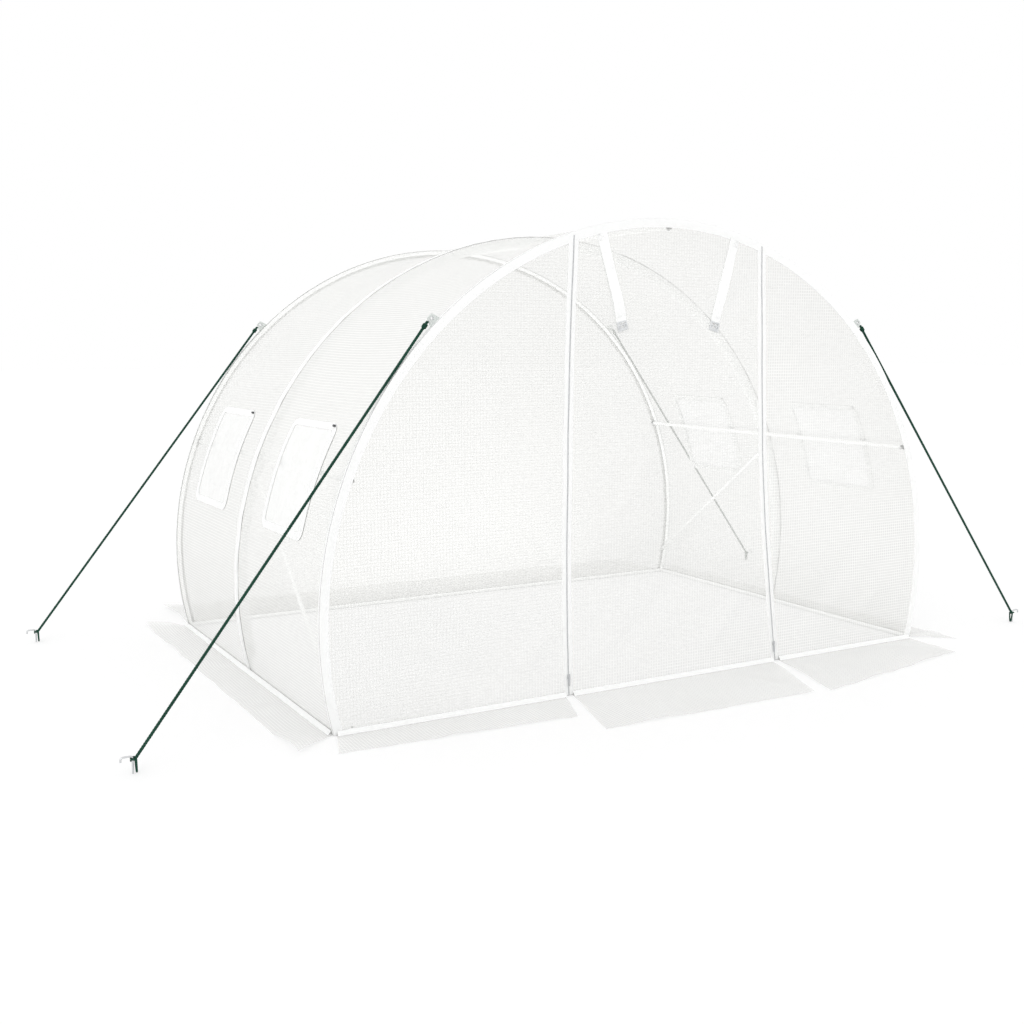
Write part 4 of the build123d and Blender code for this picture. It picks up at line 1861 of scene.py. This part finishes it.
@dataclass
class Skirts:
    """The film flaps that lie on the ground all round, with the tapes along their seams."""

    plan: TunnelPlan
    mesh_pitch: float = 0.018
    rest: float = 0.0025
    wave: float = 0.011
    wave_floor: float = 0.15
    wave_start: float = 0.45
    corner_range: Pair = (0.36, 0.5)
    corner_lift: float = 0.8
    edge_draw: float = 0.006
    tape_width: float = 0.022
    tape_thickness: float = 0.0008
    tape_lift: float = 0.0026
    tape_lean: float = 40.0
    below: Vector = Vector((0, 0, -50))

    WAVES = Ripple(4.2, 0.8)
    SMALL_WAVES = Ripple(9.5, 1.4, 2.0)
    EDGE = Ripple(14.0, 1.0, 5.0)
    FLAPS = (
        Skirt("left_skirt", -X_AXIS, "left_base_rails", 2.0),
        Skirt("right_skirt", X_AXIS, "right_base_rails", 5.0),
        Skirt("back_skirt", Y_AXIS, "back_base_rail", 9.0),
        Skirt("front_left_skirt", -Y_AXIS, "front_base_rail", 12.0),
        Skirt("door_skirt", -Y_AXIS, "front_base_rail", 15.0),
        Skirt("front_right_skirt", -Y_AXIS, "front_base_rail", 19.0),
    )

    def build(self, nodes: dict[str, Piece]) -> None:
        """Make every flap and the tape along its seam.

        Args:
            nodes: The frame's nodes by name.
        """
        for flap in self.FLAPS:
            corners = self.corners(flap, nodes[flap.node])
            self.lay(flap, corners)
            self.seam_tape(flap, corners)

    def corners(self, flap: Skirt, node: Piece) -> list[Vector]:
        """Return a flap's corners on the ground.

        Args:
            flap: The flap.
            node: Its solid in the frame.

        Returns:
            The inner edge's two ends, then the outer edge's two.
        """
        found = {(round(v.co.x, 5), round(v.co.y, 5)) for v in node.data.vertices}
        points = sorted((Vector((x, y, 0)) for x, y in found), key=lambda point: point.dot(flap.outward))
        along = flap.outward.cross(Z_AXIS)
        edges = (sorted(edge, key=lambda point: point.dot(along)) for edge in (points[:2], points[-2:]))
        return [point for edge in edges for point in edge]

    def height(self, flap: Skirt, place: Vector, out: float, share: float) -> float:
        """Return how high the film lies over the ground.

        Args:
            flap: The flap.
            place: The place on the ground.
            out: The share of the way from the wall to the outer edge.
            share: The share of the way along the flap.

        Returns:
            The height, never below the film's own rest.
        """
        along = place.dot(flap.outward.cross(Z_AXIS))
        folds = self.WAVES.at(along, out, flap.seed) + 0.6 * self.SMALL_WAVES.at(along, out, flap.seed)
        rise = max(folds, -self.wave_floor) + self.wave_floor
        corner = 1 + self.corner_lift * smooth(abs(share - 0.5), *self.corner_range)
        return self.rest + self.wave * rise * smooth(out, 0.0, self.wave_start) * corner

    def wall_at(self, flap: Skirt, height: float) -> float:
        """Return how far the wall over a flap stands from the tunnel's middle at a height."""
        if flap.outward.x:
            return self.plan.half_width(height)
        return self.plan.back_wall if flap.outward.y > 0 else -self.plan.front_wall

    def seam_tape(self, flap: Skirt, corners: Sequence[Vector]) -> None:
        """Make the white tape over a flap's seam, which leans from the wall to the ground.

        Args:
            flap: The flap.
            corners: The ends of its inner and outer edge.
        """
        first, last = corners[:2]
        lean, low = math.radians(self.tape_lean), self.plan.film_foot
        rise, run = self.tape_width * math.cos(lean), self.tape_width * math.sin(lean)
        upward = (Z_AXIS * rise - flap.outward * run).normalized()
        reach = self.wall_at(flap, low + rise) + self.tape_lift + run / 2
        path = []
        for share in steps(0.0, 1.0, self.mesh_pitch * 2 / (last - first).length):
            point = first.lerp(last, share)
            path.append(point + flap.outward * (reach - point.dot(flap.outward)) + Z_AXIS * (low + rise / 2))
        across = [upward] * len(path)
        tape = ribbon(f"{flap.node}_seam", path, across, self.tape_width, self.tape_thickness, TAPE)
        settle(tape, "seam_band")

    def lay(self, flap: Skirt, corners: Sequence[Vector]) -> None:
        """Make one flap from its corners.

        Args:
            flap: The flap.
            corners: The ends of its inner and outer edge.
        """
        first, last, outer_first, outer_last = corners

        def ground(share: float, out: float) -> Vector:
            """Return the place on the ground at a share along the flap and out from the wall."""
            return first.lerp(last, share).lerp(outer_first.lerp(outer_last, share), out)

        def place(share: float, out: float) -> Vector:
            """Return a point of the film."""
            drawn = self.edge_draw * self.EDGE.at(share, out, flap.seed) * out
            point = ground(share, out) + flap.outward * drawn
            point.z = self.height(flap, point, out, share)
            return point

        reach = max((outer_first - first).dot(flap.outward), (outer_last - last).dot(flap.outward))
        film = film_sheet(
            f"{flap.node}_film",
            steps(0.0, 1.0, self.mesh_pitch / (last - first).length),
            steps(0.0, 1.0, self.mesh_pitch / reach),
            place,
            lambda share, out: tuple(ground(share, out)[:2]),
            SCRIM,
            self.below,
        )
        settle(film, "film", flap.node)
        low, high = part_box(flap.node)


# Guying


@dataclass
class Guying:
    """The ropes, their tabs on the shoulders and the pegs."""

    plan: TunnelPlan
    rope_radius: float = 0.006
    end_insets: tuple[float, float, float] = (0.8, 1.0, 0.6)
    strand_radius: float = 0.0034
    lay_length: float = 0.032
    steps_per_lay: int = 9
    knot_cord: float = 0.6
    knot_turns: float = 2.5
    knot_wind: float = 1.15
    knot_start: float = 0.014
    knot_length: float = 0.016
    knot_steps: int = 30
    shank_gap: float = 0.006
    loop_turns: float = 1.5
    loop_radius: float = 0.0078
    loop_rise: float = 0.006
    loop_drop: float = 0.011
    loop_steps: int = 24
    tail_gap: float = 0.008
    tail_sway: float = 0.002
    tail_width: float = 0.016
    tail_foot: float = 0.0052
    tail_drop: float = 0.004
    tail_bend: float = 1.4
    tail_steps: int = 12
    tab_angle: float = 43.5
    tab_base: float = 0.05
    tab_tip: float = 0.026
    tab_height: float = 0.034
    tab_thickness: float = 0.005
    tab_lift: float = 0.0004
    tab_sides: int = 28
    eye_height: float = 0.021
    eye_radius: float = 0.0058
    eyelet_radius: float = 0.0068
    eyelet_wire: float = 0.0013
    eyelet_steps: int = 16

    def build(self, nodes: dict[str, Piece]) -> None:
        """Make the ropes, knots and tabs, and dress the pegs.

        Args:
            nodes: The frame's nodes by name.
        """
        coat(nodes["ground_pegs"], ZINC)
        log.info("ground_pegs: zinc")
        rig = RopeRig()
        knots: list[list[Vector]] = []
        for side, end in product(Side, End):
            word = f"{side.word}_{end.word}_guy_rope"
            start, stop = self.rope_ends(word, side, end)
            self.rope(rig, word, start, stop)
            knots += [self.tab_knot(start, stop), *self.peg_loops(stop, side)]
        settle(cord_runs("rope_knots", knots, self.rope_radius * self.knot_cord, ROPE), "rope")
        self.tabs()

    def rope_ends(self, word: str, side: Side, end: End) -> tuple[Vector, Vector]:
        """Return the upper and lower end of a rope's middle line.

        Args:
            word: The rope's node.
            side: The rope's side.
            end: The rope's end of the tunnel.

        Returns:
            The two points.
        """
        low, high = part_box(word)
        across, along, up = (self.rope_radius * share for share in self.end_insets)
        near, far = sorted((abs(low.x), abs(high.x)))
        inner, outer = sorted((abs(low.y), abs(high.y)))
        upper = Vector((side.value * (near + across), end.value * (inner + along), high.z - up))
        lower = Vector((side.value * (far - across), end.value * (outer - along), low.z + up))
        return upper, lower

    def rope(self, rig: RopeRig, word: str, start: Vector, stop: Vector) -> None:
        """Make one twisted rope between two points.

        Args:
            rig: The node tree that lays the strands.
            word: The rope's node.
            start: The rope's upper end.
            stop: Its lower end.
        """
        name = f"{word}_strands"
        run = (stop - start).normalized()
        side = run.cross(Y_AXIS).normalized()
        piece = rig.run(
            name,
            bpy.data.meshes.new(name),
            Start=start,
            End=stop,
            Side=side,
            Up=run.cross(side),
            Lay=self.lay_length,
            Offset=self.rope_radius - self.strand_radius,
            Strand=self.strand_radius,
            Steps=round((stop - start).length / self.lay_length * self.steps_per_lay),
            Finish=ROPE.material(),
        )
        finish_mesh(piece, 60.0)
        settle(piece, "rope", word)

    def tab_knot(self, start: Vector, stop: Vector) -> list[Vector]:
        """Return the cord's turns round a rope by its tab.

        Args:
            start: The rope's upper end.
            stop: Its lower end.

        Returns:
            The turns' points.
        """
        run = (stop - start).normalized()
        across = run.cross(Y_AXIS).normalized()
        upward = run.cross(across)
        wind = self.rope_radius * self.knot_wind
        turns = []
        for share in shares(self.knot_steps):
            angle = math.tau * self.knot_turns * share
            spoke = (across * math.cos(angle) + upward * math.sin(angle)) * wind
            turns.append(start + run * (self.knot_start + self.knot_length * share) + spoke)
        return turns

    def peg_loops(self, stop: Vector, side: Side) -> list[list[Vector]]:
        """Return the loop round a rope's peg and the tail that hangs from it.

        Args:
            stop: The rope's lower end.
            side: The rope's side.

        Returns:
            The points of the loop and of the tail.
        """
        shank = Vector((stop.x + side.value * self.shank_gap, stop.y, 0))
        loop, tail = [], []
        for share in shares(self.loop_steps):
            angle = math.tau * self.loop_turns * share
            spoke = Vector((math.cos(angle), math.sin(angle), 0)) * self.loop_radius
            loop.append(shank + spoke + Z_AXIS * (stop.z + self.loop_rise - self.loop_drop * share))
        for share in shares(self.tail_steps):
            sway = math.sin(share * math.pi)
            aside = -side.value * (self.tail_gap + self.tail_sway * sway)
            height = self.tail_foot + (stop.z - self.tail_drop) * (1 - sway) ** self.tail_bend
            tail.append(shank + Vector((aside, (share - 0.5) * self.tail_width, height)))
        return [loop, tail]

    def tabs(self) -> None:
        """Make the webbing tabs with their eyes."""
        plan, sides = self.plan, self.tab_sides
        points, faces, coordinates, rings = [], [], [], []
        half = Y_AXIS * (self.tab_thickness / 2)
        for side, end in product(Side, End):
            turn = side.value * math.radians(self.tab_angle)
            out, beside = plan.outward(turn), plan.around(turn)
            foot = plan.on_arc(plan.film_radius + self.tab_lift, turn, end.value * plan.half_length)
            start = len(points)
            for face, is_eye, share in product((-half, half), (False, True), shares(sides)[:-1]):
                across, up = math.cos(math.tau * share), math.sin(math.tau * share)
                reach = self.eye_radius if is_eye else self.tab_reach(across, up)
                spot = foot + beside * (across * reach) + out * (self.eye_height + up * reach)
                points.append(spot + face)
                coordinates.append((across * reach, up * reach))
            for index, (first, last) in product(range(sides), ((0, 1), (3, 2), (2, 0), (1, 3))):
                here, there, after = start + first * sides, start + last * sides, (index + 1) % sides
                faces.append((here + index, here + after, there + after, there + index))
            turns = [math.tau * share for share in shares(self.eyelet_steps)]
            spokes = [beside * math.cos(turn) + out * math.sin(turn) for turn in turns]
            for face in (-half, half):
                middle = foot + out * self.eye_height + face
                rings.append([middle + spoke * self.eyelet_radius for spoke in spokes])
        settle(make_piece("shoulder_tabs", points, faces, TAB_WEB, coordinates, 30.0), "tab", "rope_tabs")
        settle(cord_runs("tab_eyelets", rings, self.eyelet_wire, ZINC), "peg")

    def tab_reach(self, across: float, up: float) -> float:
        """Return the distance from a tab's eye to its outline in one direction.

        Args:
            across: The direction's part across the tab.
            up: The direction's part out of the cover.

        Returns:
            The distance in metres.
        """
        tiny = 1e-6
        slope = (self.tab_base - self.tab_tip) / 2 / self.tab_height
        closing = abs(across) + up * slope
        reaches = []
        if up > tiny:
            reaches.append((self.tab_height - self.eye_height) / up)
        if up < -tiny:
            reaches.append(self.eye_height / -up)
        if closing > tiny:
            reaches.append((self.tab_base / 2 - slope * self.eye_height) / closing)
        return min(reaches)


# Stage


@dataclass
class Studio:
    """The camera, the pale floor and the soft light."""

    eye: Vector = Vector((-3.075, -5.0633, 1.4457))
    target: Vector = Vector((-0.17, 0.0, 0.6214))
    lens: float = 42.25
    view_depth: float = 300.0
    floor_half: float = 60.0
    floor_tone: float = 0.85
    floor_lift: float = 0.5
    sky_light: float = 1.1
    key_light: float = 0.85
    key_spread: float = 50.0
    key_from: Vector = Vector((-0.7, -0.75, 0.55))
    fill_power: float = 14.0
    fill_size: float = 1.8
    fill_height: float = 0.03

    WHITE = (1.0, 1.0, 1.0, 1.0)

    def build(self) -> None:
        """Set the view, the floor, the world and the lamps."""
        bpy.context.scene.view_settings.view_transform = "Standard"
        self.camera()
        self.floor()
        self.world()
        self.key_lamp()
        self.fill_lamp()

    def aim(self, name: str, data: bpy.types.ID, way: Vector) -> Piece:
        """Put in a camera or a lamp that looks or shines along a direction.

        Args:
            name: The object's name.
            data: The camera or the lamp.
            way: The direction.

        Returns:
            The new object.
        """
        piece = put(name, data)
        piece.rotation_mode = "QUATERNION"
        piece.rotation_quaternion = way.to_track_quat("-Z", "Y")
        return piece

    def camera(self) -> None:
        """Stand the camera at the photograph's viewing angle."""
        data = bpy.data.cameras.new("camera")
        data.lens = self.lens
        data.clip_end = self.view_depth
        camera = self.aim("camera", data, self.target - self.eye)
        camera.location = self.eye
        bpy.context.scene.camera = camera

    def seen(self, wiring: Wiring) -> Socket:
        """Tell the rays that show the background: camera, glossy and transmission rays.

        Args:
            wiring: The tree's wiring.

        Returns:
            1 for these rays and 0 for others.
        """
        path = wiring.add("ShaderNodeLightPath").outputs
        total = path["Is Camera Ray"]
        for word in ("Is Glossy Ray", "Is Transmission Ray"):
            total = wiring.sum("MAXIMUM", total, path[word])
        return total

    def mix(self, wiring: Wiring, share: Socket, first: bpy.types.Node, second: bpy.types.Node) -> Socket:
        """Return a mix of two shaders, by the second one's share."""
        both = wiring.add("ShaderNodeMixShader")
        for socket, value in zip(both.inputs, (share, first.outputs[0], second.outputs[0])):
            wiring.feed(socket, value)
        return both.outputs[0]

    def floor(self) -> None:
        """Lay a plain pale floor that keeps the object's shadow."""
        half, tone = self.floor_half, self.floor_tone
        mesh = bpy.data.meshes.new("floor")
        corners = [(-half, -half, 0), (half, -half, 0), (half, half, 0), (-half, half, 0)]
        mesh.from_pydata(corners, [], [(0, 1, 2, 3)])
        material = bpy.data.materials.new("pale_floor")
        material.use_nodes = True
        material.node_tree.nodes.clear()
        wiring = Wiring(material.node_tree)
        matt = wiring.add("ShaderNodeBsdfDiffuse", Color=(tone, tone, tone, 1.0))
        share = wiring.sum("MULTIPLY", self.seen(wiring), self.floor_lift)
        surface = self.mix(wiring, share, matt, wiring.add("ShaderNodeEmission"))
        wiring.add("ShaderNodeOutputMaterial", Surface=surface)
        mesh.materials.append(material)
        put("floor", mesh)

    def world(self) -> None:
        """Surround the object with even light and a white background."""
        world = bpy.data.worlds.new("studio")
        bpy.context.scene.world = world
        world.use_nodes = True
        world.node_tree.nodes.clear()
        wiring = Wiring(world.node_tree)
        light = wiring.add("ShaderNodeBackground", Color=self.WHITE, Strength=self.sky_light)
        white = wiring.add("ShaderNodeBackground", Color=self.WHITE)
        wiring.add("ShaderNodeOutputWorld", Surface=self.mix(wiring, self.seen(wiring), light, white))

    def key_lamp(self) -> None:
        """Add one wide soft lamp from the camera's side."""
        data = bpy.data.lights.new("soft_key", "SUN")
        data.energy = self.key_light
        data.angle = math.radians(self.key_spread)
        self.aim("soft_key", data, -self.key_from)

    def fill_lamp(self) -> None:
        """Add a wide soft lamp on the ground inside that shines up, out of the view and of reflections."""
        data = bpy.data.lights.new("inner_fill", "AREA")
        data.energy = self.fill_power
        data.size = self.fill_size
        lamp = self.aim("inner_fill", data, Z_AXIS)
        lamp.location = Z_AXIS * self.fill_height
        lamp.visible_camera = lamp.visible_glossy = False


def main() -> None:
    """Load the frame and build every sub-assembly in order."""
    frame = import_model()
    plan = TunnelPlan.from_frame()
    fittings = FittingRig()
    Studio().build()
    TubeFrame(plan, fittings).build(frame["nodes"])
    cover = FilmCover(plan, [Window.from_frame(plan, side, end) for side, end in product(Side, End)])
    cover.build()
    WindowSet(plan, cover, fittings).build()
    EndWalls(plan, fittings).build()
    Skirts(plan).build(frame["nodes"])
    Guying(plan).build(frame["nodes"])


if __name__ == "__main__":
    main()
